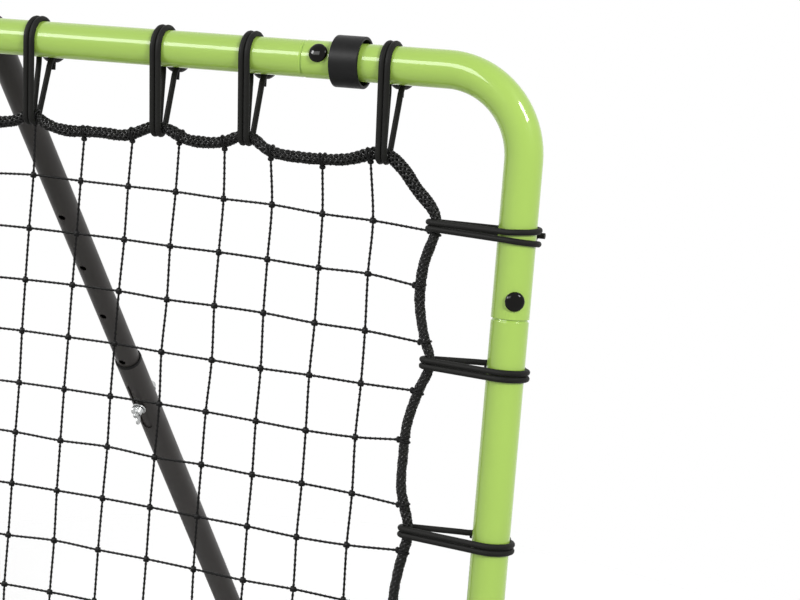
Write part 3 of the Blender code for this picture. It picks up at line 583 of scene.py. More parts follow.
def smooth_line(points, step, cyclic=False):
    """Points at an even step on a smooth curve through the given points."""
    points = [Vector(point) for point in points]
    total = len(points)
    dense = []
    for index in range(total if cyclic else total - 1):
        if cyclic:
            four = [points[(index + offset) % total] for offset in (-1, 0, 1, 2)]
        else:
            four = [points[min(max(index + offset, 0), total - 1)] for offset in (-1, 0, 1, 2)]
            if index == 0:
                four[0] = four[1] * 2 - four[2]
            if index == total - 2:
                four[3] = four[2] * 2 - four[1]
        before, first, second, after = four
        knots = [0.0]
        for one, two in zip(four, four[1:]):
            knots.append(knots[-1] + max((two - one).length, MERGE) ** 0.5)
        span = (second - first).length
        ease_out = (knots[2] - knots[1]) * ((first - before) / (knots[1] - knots[0])
                    - (second - before) / (knots[2] - knots[0]) + (second - first) / (knots[2] - knots[1]))
        ease_in = (knots[2] - knots[1]) * ((second - first) / (knots[2] - knots[1])
                   - (after - first) / (knots[3] - knots[1]) + (after - second) / (knots[3] - knots[2]))
        pieces = max(4, math.ceil(span / step))
        for piece in range(pieces):
            t = piece / pieces
            dense.append(first * (2 * t ** 3 - 3 * t ** 2 + 1) + ease_out * (t ** 3 - 2 * t ** 2 + t)
                         + second * (3 * t ** 2 - 2 * t ** 3) + ease_in * (t ** 3 - t ** 2))
    dense.append(points[0].copy() if cyclic else points[-1])
    return even_line(dense, step, cyclic)


def even_line(dense, step, cyclic=False):
    """The same line with its points at an even step."""
    marks = [0.0]
    for first, second in zip(dense, dense[1:]):
        marks.append(marks[-1] + (second - first).length)
    steps = max(2, round(marks[-1] / step))
    even, index = [], 0
    for number in range(steps if cyclic else steps + 1):
        want = marks[-1] * number / steps
        while index < len(dense) - 2 and marks[index + 1] < want:
            index += 1
        room = max(marks[index + 1] - marks[index], TINY)
        even.append(dense[index].lerp(dense[index + 1], min(1.0, (want - marks[index]) / room)))
    return even


def cords(name, lines, radius, sides, tilts=None, section=None):
    """Round or shaped cords along lines of points. Their UV map runs in metres along each cord."""
    curve = bpy.data.curves.new(name, "CURVE")
    curve.dimensions = "3D"
    curve.use_fill_caps = True
    curve.twist_mode = "MINIMUM"
    curve.resolution_u = 1
    helper = None
    if section:
        ring = bpy.data.curves.new("section", "CURVE")
        ring.dimensions = "2D"
        spline = ring.splines.new("POLY")
        spline.points.add(len(section) - 1)
        for point, (x, y) in zip(spline.points, section):
            point.co = (x, y, 0, 1)
        spline.use_cyclic_u = True
        helper = show("section", ring)
        curve.bevel_mode = "OBJECT"
        curve.bevel_object = helper
        sides = len(section)
    else:
        curve.bevel_depth = radius
        curve.bevel_resolution = sides // 2 - 2
    lengths = []
    for number, line in enumerate(lines):
        spline = curve.splines.new("POLY")
        spline.points.add(len(line) - 1)
        spline.points.foreach_set("co", [value for point in line for value in (*point, 1.0)])
        if tilts:
            spline.points.foreach_set("tilt", tilts[number])
        lengths.append(sum((b - a).length for a, b in zip(line, line[1:])))
    mesh = taken(show(name, curve))
    if helper:
        bpy.data.objects.remove(helper, do_unlink=True)
    starts, total = [], 0
    for line in lines:
        starts.append(total)
        total += len(line) * sides
    uv = mesh.uv_layers[0].data
    number = 0
    for polygon in mesh.polygons:
        vertex = polygon.vertices[0]
        while number + 1 < len(starts) and vertex >= starts[number + 1]:
            number += 1
        while vertex < starts[number]:
            number -= 1
        for loop in polygon.loop_indices:
            uv[loop].uv.x *= lengths[number]
    return mesh


# Materials

class Nodes:
    """Short words for the node tree of one material."""

    def __init__(self, name, base, roughness, metallic=0.0, specular=0.5):
        self.material = bpy.data.materials.new(name)
        self.material.use_nodes = True
        self.material.diffuse_color = (*base, 1)
        self.tree = self.material.node_tree
        self.shader = self.tree.nodes["Principled BSDF"]
        self.shader.inputs["Base Color"].default_value = (*base, 1)
        self.shader.inputs["Roughness"].default_value = roughness
        self.shader.inputs["Metallic"].default_value = metallic
        self.shader.inputs["Specular IOR Level"].default_value = specular
        self.base = base

    def add(self, kind, **values):
        node = self.tree.nodes.new(kind)
        for key, value in values.items():
            setattr(node, key, value)
        return node

    def link(self, output, target):
        self.tree.links.new(output, target)

    def place(self, kind="Object", scale=(1, 1, 1)):
        """Coordinates on the piece, stretched by a scale."""
        source = self.add("ShaderNodeTexCoord")
        mapping = self.add("ShaderNodeMapping")
        mapping.inputs["Scale"].default_value = scale
        self.link(source.outputs[kind], mapping.inputs["Vector"])
        return mapping.outputs["Vector"]

    def noise(self, scale, detail=3.0, where=None):
        node = self.add("ShaderNodeTexNoise")
        node.inputs["Scale"].default_value = scale
        node.inputs["Detail"].default_value = detail
        self.link(where or self.place(), node.inputs["Vector"])
        return node.outputs["Fac"]

    def math(self, operation, first, second=None):
        node = self.add("ShaderNodeMath", operation=operation)
        for slot, value in zip(node.inputs, (first, second)):
            if value is None:
                continue
            if isinstance(value, (int, float)):
                slot.default_value = value
            else:
                self.link(value, slot)
        return node.outputs[0]

    def spread(self, value, low, high):
        """Bring a value of 0 to 1 into a range."""
        node = self.add("ShaderNodeMapRange")
        node.inputs["From Min"].default_value = 0.25
        node.inputs["From Max"].default_value = 0.75
        node.inputs["To Min"].default_value = low
        node.inputs["To Max"].default_value = high
        self.link(value, node.inputs["Value"])
        return node.outputs["Result"]

    def tint(self, value, dark, light):
        """Vary the base colour between a darker and a lighter share of itself."""
        ramp = self.add("ShaderNodeValToRGB")
        ramp.color_ramp.elements[0].position = 0.25
        ramp.color_ramp.elements[1].position = 0.75
        for element, part in zip(ramp.color_ramp.elements, (dark, light)):
            element.color = (*(min(1.0, channel * part) for channel in self.base), 1)
        self.link(value, ramp.inputs["Fac"])
        self.link(ramp.outputs["Color"], self.shader.inputs["Base Color"])

    def rough(self, value, low, high):
        self.link(self.spread(value, low, high), self.shader.inputs["Roughness"])

    def bump(self, *heights):
        """Lay bumps over each other, each as (value, strength, distance)."""
        normal = None
        for value, strength, distance in heights:
            node = self.add("ShaderNodeBump")
            node.inputs["Strength"].default_value = strength
            node.inputs["Distance"].default_value = distance
            self.link(value, node.inputs["Height"])
            if normal:
                self.link(normal, node.inputs["Normal"])
            normal = node.outputs["Normal"]
        self.link(normal, self.shader.inputs["Normal"])


def green_powder_coat():
    """Gloss powder coat: an even green under a clear skin with a fine orange peel."""
    made = Nodes("green_powder_coat_finish", tuple(settings("finishes").green), 0.40, specular=0.15)
    made.shader.inputs["Coat Weight"].default_value = 0.9
    made.shader.inputs["Coat Roughness"].default_value = 0.04
    made.tint(made.noise(7.0, 4.0), 0.965, 1.03)
    made.rough(made.noise(60.0, 3.0), 0.36, 0.46)
    made.bump((made.noise(260.0, 2.0), 0.03, 0.0004), (made.noise(40.0, 2.0), 0.03, 0.0006))
    return made.material


def black_powder_coat():
    """Satin powder coat with a fine grain."""
    made = Nodes("black_powder_coat_finish", tuple(settings("finishes").black), 0.42, specular=0.22)
    made.tint(made.noise(9.0, 4.0), 0.88, 1.12)
    made.rough(made.noise(50.0, 3.0), 0.36, 0.50)
    made.bump((made.noise(1400.0, 2.0), 0.16, 0.0002), (made.noise(60.0, 2.0), 0.05, 0.0005))
    return made.material


def zinc_plate():
    """Bright zinc, a little cloudy, with fine drawn lines."""
    made = Nodes("zinc_plate_finish", tuple(settings("finishes").zinc), 0.30, metallic=1.0)
    made.tint(made.noise(260.0, 4.0), 0.86, 1.06)
    made.rough(made.noise(900.0, 3.0), 0.22, 0.40)
    made.bump((made.noise(900.0, 3.0, made.place("Object", (1, 1, 6))), 0.12, 0.0001))
    return made.material


def black_steel():
    """Gloss black finish of the mushroom bolts."""
    made = Nodes("black_steel_finish", tuple(settings("finishes").steel), 0.10, specular=0.15)
    made.tint(made.noise(220.0, 3.0), 0.85, 1.2)
    made.rough(made.noise(400.0, 3.0), 0.07, 0.14)
    made.bump((made.noise(900.0, 2.0), 0.03, 0.0001))
    return made.material


def black_plastic():
    """Moulded black plastic with a fine spark-eroded grain."""
    made = Nodes("black_plastic_finish", tuple(settings("finishes").plastic), 0.40, specular=0.14)
    made.tint(made.noise(40.0, 3.0), 0.85, 1.15)
    made.rough(made.noise(300.0, 3.0), 0.34, 0.46)
    made.bump((made.noise(2200.0, 3.0), 0.14, 0.00012))
    return made.material


def black_rubber():
    """Matt rubber, faintly chalky."""
    made = Nodes("black_rubber_finish", tuple(settings("finishes").rubber), 0.80, specular=0.35)
    made.tint(made.noise(30.0, 5.0), 0.8, 1.35)
    made.rough(made.noise(120.0, 4.0), 0.70, 0.92)
    made.bump((made.noise(1100.0, 4.0), 0.25, 0.0003))
    return made.material


def woven(made, along, around):
    """Height of a two-way braid on a cord's UV map, with its threads per metre and round the cord."""
    parts = made.add("ShaderNodeSeparateXYZ")
    made.link(made.place("UV"), parts.inputs[0])
    down = made.math("MULTIPLY", parts.outputs["X"], along * math.pi)
    across = made.math("MULTIPLY", parts.outputs["Y"], around * 2 * math.pi)
    one = made.math("SINE", made.math("ADD", down, across))
    two = made.math("SINE", made.math("SUBTRACT", down, across))
    return made.math("MULTIPLY_ADD", made.math("MULTIPLY", one, two), 0.5)


def elastic_cord():
    """Braided cover of the bungee cord."""
    made = Nodes("elastic_cord_finish", tuple(settings("finishes").elastic), 0.60, specular=0.12)
    made.shader.inputs["Sheen Weight"].default_value = 0.03
    made.shader.inputs["Sheen Roughness"].default_value = 0.4
    braid = woven(made, 900.0, 8.0)
    fibre = made.noise(1.0, 3.0, made.place("UV", (900.0, 60.0, 1.0)))
    # The base colour follows the braid's height, darker in its dips and lighter on its crests: partly the
    # braid's pattern, partly painted shade
    made.tint(braid, 0.75, 1.5)
    made.rough(fibre, 0.50, 0.72)
    made.bump((braid, 0.55, 0.0002), (fibre, 0.2, 0.0001))
    return made.material


def rope_fibre():
    """Shiny filament strands of the border rope."""
    made = Nodes("rope_fibre_finish", tuple(settings("finishes").rope), 0.32, specular=0.22)
    fibre = made.noise(1.0, 3.0, made.place("UV", (120.0, 14.0, 1.0)))
    # Painted highlights: tiny spots where the base colour rises up to thirty times its tone stand in for
    # glints on the glossy filaments
    painted_glint = made.math("POWER", made.noise(420.0, 2.0), 3.0)
    made.tint(painted_glint, 0.8, 30.0)
    made.rough(fibre, 0.20, 0.44)
    made.bump((fibre, 0.55, 0.0003), (made.noise(900.0, 3.0), 0.25, 0.0002))
    return made.material


def net_string():
    """Twisted filament string of the net."""
    made = Nodes("net_string_finish", tuple(settings("finishes").string), 0.50, specular=0.12)
    fibre = made.noise(1.0, 3.0, made.place("UV", (300.0, 10.0, 1.0)))
    made.tint(made.noise(120.0, 2.0), 0.6, 1.5)
    made.rough(fibre, 0.36, 0.60)
    made.bump((fibre, 0.4, 0.0002))
    return made.material


FINISHES = {"green_powder_coat": green_powder_coat, "black_powder_coat": black_powder_coat,
            "zinc_plate": zinc_plate, "black_steel": black_steel, "black_plastic": black_plastic,
            "black_rubber": black_rubber, "elastic_cord": elastic_cord, "rope_fibre": rope_fibre,
            "net_string": net_string}


def finish(name):
    """A material by its name, made once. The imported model's own materials have the plain names."""
    return bpy.data.materials.get(name + "_finish") or FINISHES[name]()


# Shapes shared by several pieces

def bent_tube(name, first, last, lip):
    """A hollow quarter bend. Its axes cross at the origin, and its legs reach to -X and to -Z."""
    size = settings("frame")
    radius = socket_radius()
    work = bmesh.new()
    bmesh.ops.create_circle(work, segments=size.tube_sides, radius=radius,
                            matrix=at(-first, 0, 0) @ TO_RIGHT)
    drawn = bmesh.ops.extrude_edge_only(work, edges=work.edges[:])["geom"]
    ring = verts_of(drawn)
    bmesh.ops.translate(work, verts=ring, vec=(first - size.bend_radius, 0, 0))
    edges = [edge for edge in work.edges if all(vert in ring for vert in edge.verts)]
    spun = bmesh.ops.spin(work, geom=ring + edges, cent=(-size.bend_radius, 0, -size.bend_radius),
                          axis=(0, 1, 0), dvec=(0, 0, 0), angle=math.radians(90), steps=20, use_merge=False)
    end = [item for item in spun["geom_last"] if isinstance(item, bmesh.types.BMEdge)]
    drawn = bmesh.ops.extrude_edge_only(work, edges=end)["geom"]
    ring = verts_of(drawn)
    bmesh.ops.translate(work, verts=ring, vec=(0, 0, size.bend_radius - last))
    return rounded(walled(mesh_of(work, name), size.tube_wall), lip, 2, 60)


def swaged_tube(name, half_length):
    """A straight tube whose ends are drawn down to fit inside the corner pieces."""
    size = settings("frame")
    seam = half_length - size.gap
    full = seam - size.shoulder
    end = half_length + size.swage_length
    narrow = size.tube_radius - size.swage_drop
    outside = [(narrow, end), (narrow, seam), ((narrow + size.tube_radius) / 2, (seam + full) / 2),
               (size.tube_radius, full)]
    inside = [(radius - size.tube_wall, height - size.shoulder / 2)
              for radius, height in reversed(outside[1:])]
    inside.append((narrow - size.tube_wall, end))
    below = [(radius, -height) for radius, height in reversed(outside)]
    below_inside = [(radius, -height) for radius, height in reversed(inside)]
    return lathe(name, outside + below + below_inside + inside, size.tube_sides, closed=True)


def threaded(radius, top, bottom, pitch=0.001):
    """The profile of a bolt's thread from its tip at the top down to the bottom."""
    points = [(0, top), (radius * 0.82, top)]
    height = top - pitch / 2
    while height > bottom + pitch:
        points += [(radius, height - pitch * 0.35), (radius * 0.88, height - pitch * 0.85)]
        height -= pitch
    points += [(radius, bottom), (0, bottom)]
    return points


def mushroom_bolt(name, seat):
    """A bolt along Z with its domed head on top, through a tube whose surface is at the seat."""
    size, bolt = settings("frame"), settings("fasteners")
    under = seat + size.gap
    rim = bolt.head_height * 0.16
    dome = [(bolt.head_radius * math.sin(math.radians(angle)),
             under + rim + (bolt.head_height - rim) * math.cos(math.radians(angle)))
            for angle in range(0, 91, 9)]
    tip = -(seat + 2 * size.gap + bolt.nut_height + bolt.bolt_radius / 2)
    thread = [(radius, -height) for radius, height in
              reversed(threaded(bolt.bolt_radius, -tip, seat - bolt.nut_height))]
    profile = dome + [(bolt.head_radius - rim * 0.6, under), (bolt.bolt_radius, under)] + thread[1:]
    return lathe(name, profile, 32)


def hex_nut(name, radius, height, bore):
    """A hexagon nut with chamfered corners, from Z = 0 up to its height."""
    work = bmesh.new()
    bmesh.ops.create_cone(work, cap_ends=True, segments=6, radius1=radius, radius2=radius, depth=height)
    body = mesh_of(work, name)
    chamfer = radius * 0.11
    turned = lathe("chamfer", [(0, height / 2), (radius - chamfer * 1.6, height / 2),
                               (radius + chamfer, height / 2 - chamfer * 1.5),
                               (radius + chamfer, chamfer * 1.5 - height / 2),
                               (radius - chamfer * 1.6, -height / 2), (0, -height / 2)], 48)
    made = combined(body, [turned], "INTERSECT")
    if bore:
        made = combined(made, [rod(bore, 3 * height, 32)], "DIFFERENCE")
    return placed(made, at(0, 0, height / 2))


def pivot_bolt_meshes(grip):
    """A hexagon bolt along Z that clamps a width of the grip, and its nut."""
    size, bolt = settings("frame"), settings("fasteners")
    under = grip / 2 + size.gap
    tip = grip / 2 + 2 * size.gap + bolt.pin_nut_height + bolt.pin_radius / 2
    thread = [(radius, -height) for radius, height in
              reversed(threaded(bolt.pin_radius, tip, grip / 2 - THREAD_START, PIN_PITCH))]
    top = under + SHANK_IN_HEAD
    shank = lathe("shank", [(0, top), (bolt.pin_radius, top)] + thread[1:], 32)
    head = placed(hex_nut("head", bolt.pin_head_radius, bolt.pin_head_height, 0), at(0, 0, under))
    nut = hex_nut("nut", bolt.pin_head_radius, bolt.pin_nut_height, bolt.pin_hole)
    placed(nut, at(0, 0, -(grip / 2 + size.gap + bolt.pin_nut_height)))
    return gathered("bolt", [shank, head]), nut


def bracket(name, inner, web):
    """A folded steel U. Its pivot is X through the origin and its web faces -Y."""
    bolt = settings("fasteners")
    outline = [(-web, bolt.ear_radius), (-web, -bolt.ear_radius)]
    outline += arc((0, 0), bolt.ear_radius, -90, 90, 18)
    body = plate(name, outline, inner + 2 * bolt.ear_thickness)
    depth = web - bolt.ear_thickness + 2 * bolt.ear_radius
    work = bmesh.new()
    bmesh.ops.create_cube(work, size=1.0)
    bmesh.ops.scale(work, vec=(inner, depth, 4 * bolt.ear_radius), verts=work.verts)
    inside = [edge for edge in work.edges
              if all(vert.co.y < 0 for vert in edge.verts) and edge.verts[0].co.x == edge.verts[1].co.x]
    bmesh.ops.bevel(work, geom=inside, offset=BRACKET_FOLD, affect="EDGES", segments=4,
                    profile=0.5, material=-1)
    slot = placed(mesh_of(work, "slot"), at(0, depth / 2 - web + bolt.ear_thickness, 0))
    drill = placed(rod(bolt.pin_hole, inner + 4 * bolt.ear_thickness, 36), TO_RIGHT)
    return rounded(combined(body, [slot, drill], "DIFFERENCE"), BRACKET_EDGE, 2, 40)


def frame_joints():
    """(tube, end, place) of the eight corner bolts, which point a little away from the net."""
    size, bolt = settings("frame"), settings("fasteners")
    half = size.width / 2
    along = half - size.leg_across + bolt.bolt_inset
    inset = size.leg_up - bolt.bolt_inset
    joints = []
    for side, hand in HANDS:
        for up, level, axis in ((-1, "bottom", 0.0), (1, "top", size.height)):
            outwards = Matrix.Rotation(-up * bolt.turn_level, 4, "X")
            joints.append((level + "_tube", hand, at(side * along, -size.hinge_back, axis) @ outwards))
            outwards = Matrix.Rotation(side * bolt.turn_side, 4, "Z")
            height = axis - up * inset
            joints.append((hand + "_tube", level, at(side * half, -size.hinge_back, height) @ outwards))
    return joints


# Operators, one for each piece or group of like pieces

class FrameCorners(Operator):
    """Build the four bent corner pieces of the net frame"""
    bl_idname = "rebounder.frame_corners"
    bl_label = "Frame Corners"

    def execute(self, context):
        size = settings("frame")
        for side, hand in HANDS:
            for up, level in LEVELS:
                name = "corner_%s_%s" % (level, hand)
                mesh = bent_tube(name, size.leg_across, size.leg_up, TUBE_LIP)
                height = size.height if level == "top" else 0.0
                corner = at(side * size.width / 2, -size.hinge_back, height)
                placed(mesh, frame_place() @ (corner @ Matrix.Diagonal((side, 1, up, 1))))
                settle("green_" + name, mesh, "green_powder_coat", "net_frame", [name])
        return {"FINISHED"}


class FrameTubes(Operator):
    """Build the four straight tubes of the net frame"""
    bl_idname = "rebounder.frame_tubes"
    bl_label = "Frame Tubes"

    def execute(self, context):
        size = settings("frame")
        across = size.width / 2 - size.leg_across
        upright = size.height / 2 - size.leg_up
        places = {"bottom_tube": (across, at(0, -size.hinge_back, 0) @ TO_RIGHT),
                  "top_tube": (across, at(0, -size.hinge_back, size.height) @ TO_RIGHT),
                  "left_tube": (upright, at(-size.width / 2, -size.hinge_back, size.height / 2)),
                  "right_tube": (upright, at(size.width / 2, -size.hinge_back, size.height / 2))}
        for name, (half, place) in places.items():
            mesh = placed(swaged_tube(name, half), frame_place() @ place)
            settle("green_" + name, mesh, "green_powder_coat", "net_frame", [name])
        return {"FINISHED"}


class JointBolts(Operator):
    """Build the mushroom bolts and nuts that hold the frame's corners and the rear bar"""
    bl_idname = "rebounder.joint_bolts"
    bl_label = "Joint Bolts"

    def execute(self, context):
        size, base, bolt = settings("frame"), settings("base"), settings("fasteners")
        places = [("%s_%s" % (tube, end), "net_frame", frame_place() @ place @ TO_FRONT)
                  for tube, end, place in frame_joints()]
        bar = base.width / 2 - base.rail_leg + bolt.bolt_inset
        for side, hand in HANDS:
            place = base_place() @ at(side * bar, base.depth, 0) @ TO_BACK
            places.append(("rear_bar_" + hand, "base", place))
        seat = socket_radius()
        for name, body, place in places:
            mesh = placed(mushroom_bolt("bolt_" + name, seat), place)
            settle("domed_bolt_" + name, mesh, "black_steel", body, ["bolt_" + name])
            nut = hex_nut("nut_" + name, bolt.nut_radius, bolt.nut_height, bolt.bolt_radius + BOLT_PLAY)
            placed(nut, place @ at(0, 0, -(seat + size.gap + bolt.nut_height)))
            settle("hex_nut_" + name, nut, "zinc_plate", body, ["nut_" + name])
        return {"FINISHED"}


class Sleeves(Operator):
    """Build the two loose sleeves on the top tube"""
    bl_idname = "rebounder.sleeves"
    bl_label = "Sleeves"

    def execute(self, context):
        size, sleeve = settings("frame"), settings("sleeves")
        half, rib = sleeve.length / 2, sleeve.rib_length / 2
        bore = sleeve.radius - sleeve.wall
        profile = [(sleeve.radius, half), (sleeve.radius, -half), (bore, -half), (bore, -rib),
                   (sleeve.rib_bore, -rib), (sleeve.rib_bore, rib), (bore, rib), (bore, half)]
        for side, hand in HANDS:
            name = "sleeve_" + hand
            mesh = rounded(lathe(name, profile, size.tube_sides, closed=True), SLEEVE_EDGE, 3, 60)
            middle = at(side * (size.width / 2 - sleeve.place), -size.hinge_back, size.height)
            placed(mesh, frame_place() @ middle @ TO_RIGHT)
            settle("loose_" + name, mesh, "black_plastic", name, [name])
        return {"FINISHED"}


def rope_line():
    """The border rope's middle line round the whole net, with the place of each tie on it."""
    size, net = settings("frame"), settings("net")
    lumps = random.Random(11)
    points = []
    for index, side in enumerate(SIDES):
        run = [on_side(side, *point) for point in side_rope(side)]
        if side in ("right", "bottom"):
            run.reverse()
        points += run
        following = SIDES[(index + 1) % 4]
        corner_x = size.width / 2 * (1 if "right" in (side, following) else -1)
        corner_z = size.height if "top" in (side, following) else 0.0
        bend = CORNER_ROPE if side in ("top", "bottom") else CORNER_ROPE[::-1]
        for along, down in bend:
            x = corner_x - math.copysign(along, corner_x)
            z = corner_z - down if corner_z else down
            points.append(Vector((x, -size.hinge_back, z)))
    for point in points:
        point.y += lumps.uniform(-ROPE_STRAY, ROPE_STRAY)
    return smooth_line(points, net.rope_step, cyclic=True)


def girth_at(point):
    """How thick the rope is at a point: thinner down the sides and thicker round the corners."""
    size, net = settings("frame"), settings("net")
    x, z = abs(point.x), abs(point.z - size.height / 2)
    beside = min(1.0, max(0.0, (x - z) / SIDE_BLEND + 0.5))
    along, down = CORNER_ROPE[1]
    corner = math.hypot(x - size.width / 2 + along, z - size.height / 2 + down)
    return 1 - net.side_thinner * beside + net.corner_thicker * math.exp(-(corner / CORNER_REACH) ** 2)


def between_draws(draws, index, step):
    """A value that goes evenly from one random draw to the next, a step of places on."""
    before, part = index // step, index % step / step
    return draws[before] * (1 - part) + draws[before + 1] * part


def pinches():
    """Where the bungees squeeze the rope."""
    return [on_side(side, rope, reach) for side in SIDES for tube, rope, reach, kind in side_ties(side)]


class BorderRope(Operator):
    """Build the braided border rope, one piece for each side of the net"""
    bl_idname = "rebounder.border_rope"
    bl_label = "Border Rope"

    def execute(self, context):
        net = settings("net")
        line = rope_line()
        total = len(line)
        squeezed = pinches()
        lumps = random.Random(5)
        wobble = [lumps.uniform(-1, 1) for _ in range(total // LUMP_STEP + 2)]
        girth = []
        for index, point in enumerate(line):
            near = min((point - tie).length for tie in squeezed)
            lump = between_draws(wobble, index, LUMP_STEP)
            slow = between_draws(wobble, index, SLOW_STEP)
            pinched = 1 - (1 - net.pinch) * math.exp(-(near / PINCH_REACH) ** 2)
            girth.append(pinched * girth_at(point) * (1 + LUMP * lump + SLOW_LUMP * slow))
        tangents = [(line[(i + 1) % total] - line[i - 1]).normalized() for i in range(total)]
        turns = round(total * net.rope_step / net.strand_pitch)
        middle = net.rope_radius - net.strand_radius - net.strand_weave
        strands = []
        for hand in (1, -1):
            for number in range(net.strands):
                strand = []
                for index in range(total + 1):
                    spot = index % total
                    along = turns * 2 * math.pi * index / total
                    angle = hand * along + number * 2 * math.pi / net.strands
                    rise = hand * net.strand_weave * math.cos(net.strands * along)
                    side = tangents[spot].cross(BACK).normalized()
                    out = side * math.cos(angle) + BACK * math.sin(angle)
                    strand.append(line[spot] + out * (middle + rise) * girth[spot])
                strands.append(strand)
        line.append(line[0])
        starts = sorted([0, total] + [self.corner_index(line, corner) for corner in (1, 2, 3)])
        for side, start, end in zip(SIDES, starts, starts[1:]):
            braid = cords("rope_" + side, [strand[start:end + 1] for strand in strands],
                          net.strand_radius, 5)
            core_line = line[start:end + 1:3] + [line[end]]
            core = cords("core_" + side, [core_line], middle * CORE_SHARE, 8)
            mesh = gathered_with_uv("border_rope_" + side, [braid, core])
            placed(mesh, frame_place())
            settle("braided_rope_" + side, mesh, "rope_fibre", "net_frame",
                   ["border_rope"], slot="border_rope", sharp=0)
        return {"FINISHED"}

    def corner_index(self, line, corner):
        """The rope point nearest to where the side after a corner begins."""
        side = SIDES[corner]
        tie = side_ties(side)[-1 if side in ("right", "bottom") else 0]
        start = on_side(side, tie[1], tie[2])
        return min(range(len(line)), key=lambda index: (line[index] - start).length)


def gathered_with_uv(name, meshes):
    """Join meshes and keep their UV maps."""
    objects = [show(name, mesh) for mesh in meshes]
    with bpy.context.temp_override(active_object=objects[0], selected_editable_objects=objects,
                                   selected_objects=objects, object=objects[0]):
        bpy.ops.object.join()
    mesh = objects[0].data
    bpy.data.objects.remove(objects[0], do_unlink=True)
    return mesh


def between(first, last, parts):
    """Points that divide the straight run from one point to another."""
    return [tuple(a + (b - a) * step / parts for a, b in zip(first, last)) for step in range(1, parts)]


def ball_drop(kind):
    """A ball's middle along Z, away from the net. It is below zero, so the ball lies towards the net."""
    size = settings("bungees")
    return -size.behind_drop if kind == "behind" else -size.ball_drop


def bungee_line(kind, reach, drift):
    """The middle line of one bungee with X along the tube, Y back and Z away from the net.

    It starts in the ball's hole, goes round the tube and the rope, hooks round the ball's neck and
    comes back the same way on the other side. drift is how far the rope lies along from the tie.
    A point is given by its spread from the pair's middle, its share of the drift, and y and z.
    """
    net, size = settings("net"), settings("bungees")
    half, back = size.strand_half, size.ball_back
    wrap = socket_radius() + size.cord_radius * size.squeeze
    loop = net.rope_radius * net.pinch + size.cord_radius
    slope = math.degrees(math.asin((wrap - loop) / reach))
    behind = kind == "behind"
    hole = -1 if behind else 1
    drop = ball_drop(kind)
    scale = (size.ball_radius + size.cord_radius) / BALL_WITH_CORD

    def by_ball(points):
        return [(spread * scale, 0.0, back + y * scale, drop + z * scale) for spread, y, z in points]

    neck = [(0.0068, -0.0039, 0.0126), (0.0062, 0.0008, 0.0131),
            (0.0040, 0.0036, 0.0133), (0.0, 0.0045, 0.0132)]
    line = [(half, 0.0, back, drop + hole * size.ball_radius * 0.5),
            (half, 0.0, back, drop + hole * (size.ball_radius + 0.0015))]
    if behind:
        line.append((half, 0.0, back - 0.0012, drop - size.ball_radius - 0.009))
        round_rope = [(half, 1.0, y, z) for y, z in arc((0, -reach), loop, -6, -180 + slope, 6)]
        line += between(line[-1], round_rope[0], 5) + round_rope
        spread = 0.0026
        round_tube = []
        for step, (y, z) in enumerate(arc((0, 0), wrap, 180 + slope, 62, 8)):
            round_tube.append((half + 0.0006 + spread * step / 8, 0.0, y, z))
        line += between(line[-1], round_tube[0], 6) + round_tube
        line += by_ball([(0.0066, -0.0128, 0.0088), (0.0079, -0.0123, 0.0020), (0.0083, -0.0100, -0.0070)])
        line += by_ball([(spread, y, -z) for spread, y, z in neck])
    else:
        line += [(half, 0.0, y, z) for y, z in arc((0, 0), wrap, 42, 180 + slope, 10)]
        round_rope = [(half, 1.0, y, z) for y, z in arc((0, -reach), loop, 180 + slope, 354, 7)]
        line += between(line[-1], round_rope[0], 6) + round_rope
        gap = by_ball([(0.0056, -0.0161, -0.0130)])[0]
        line += between(line[-1], gap, 6) + [gap]
        line += by_ball([(0.0079, -0.0123, -0.0020), (0.0083, -0.0100, 0.0070)] + neck)
    there = [(spread + share * drift, y, z) for spread, share, y, z in line]
    back_again = [(share * drift - spread, y, z) for spread, share, y, z in reversed(line[:-1])]
    return smooth_line(there + back_again, size.step)


def tie_places(side):
    """The matrix, the line and the kind of each bungee of a side."""
    turns = {"top": 0.0, "right": 90.0, "bottom": 180.0, "left": -90.0}
    turn_in = rotated(turns[side], "Y")
    found = []
    for tube, rope, reach, kind in side_ties(side):
        place = Matrix.Translation(on_side(side, tube, 0.0)) @ turn_in
        drift = (place.inverted() @ on_side(side, rope, reach)).x
        line = bungee_line(kind, reach, drift)
        found.append((frame_place() @ place, line, kind))
    return found


class BungeeCords(Operator):
    """Build the elastic cords that lace the border rope to the tubes"""
    bl_idname = "rebounder.bungee_cords"
    bl_label = "Bungee Cords"

    def execute(self, context):
        size = settings("bungees")
        for side in SIDES:
            lines = []
            for place, line, kind in tie_places(side):
                lines.append([place @ point for point in line])
                out = 1 if kind == "behind" else -1
                drop = ball_drop(kind)
                ends = [Vector((0, size.ball_back, drop + out * (size.ball_radius + reach)))
                        for reach in (-CORD_IN_BALL, 0.0, size.stub * 0.5, size.stub)]
                lines.append([place @ point for point in ends])
            mesh = cords("bungee_cords_" + side, lines, size.cord_radius, 12)
            settle("bungee_cords_" + side, mesh, "elastic_cord", "net_frame",
                   ["border_rope"], slot="border_rope", sharp=60)
        return {"FINISHED"}


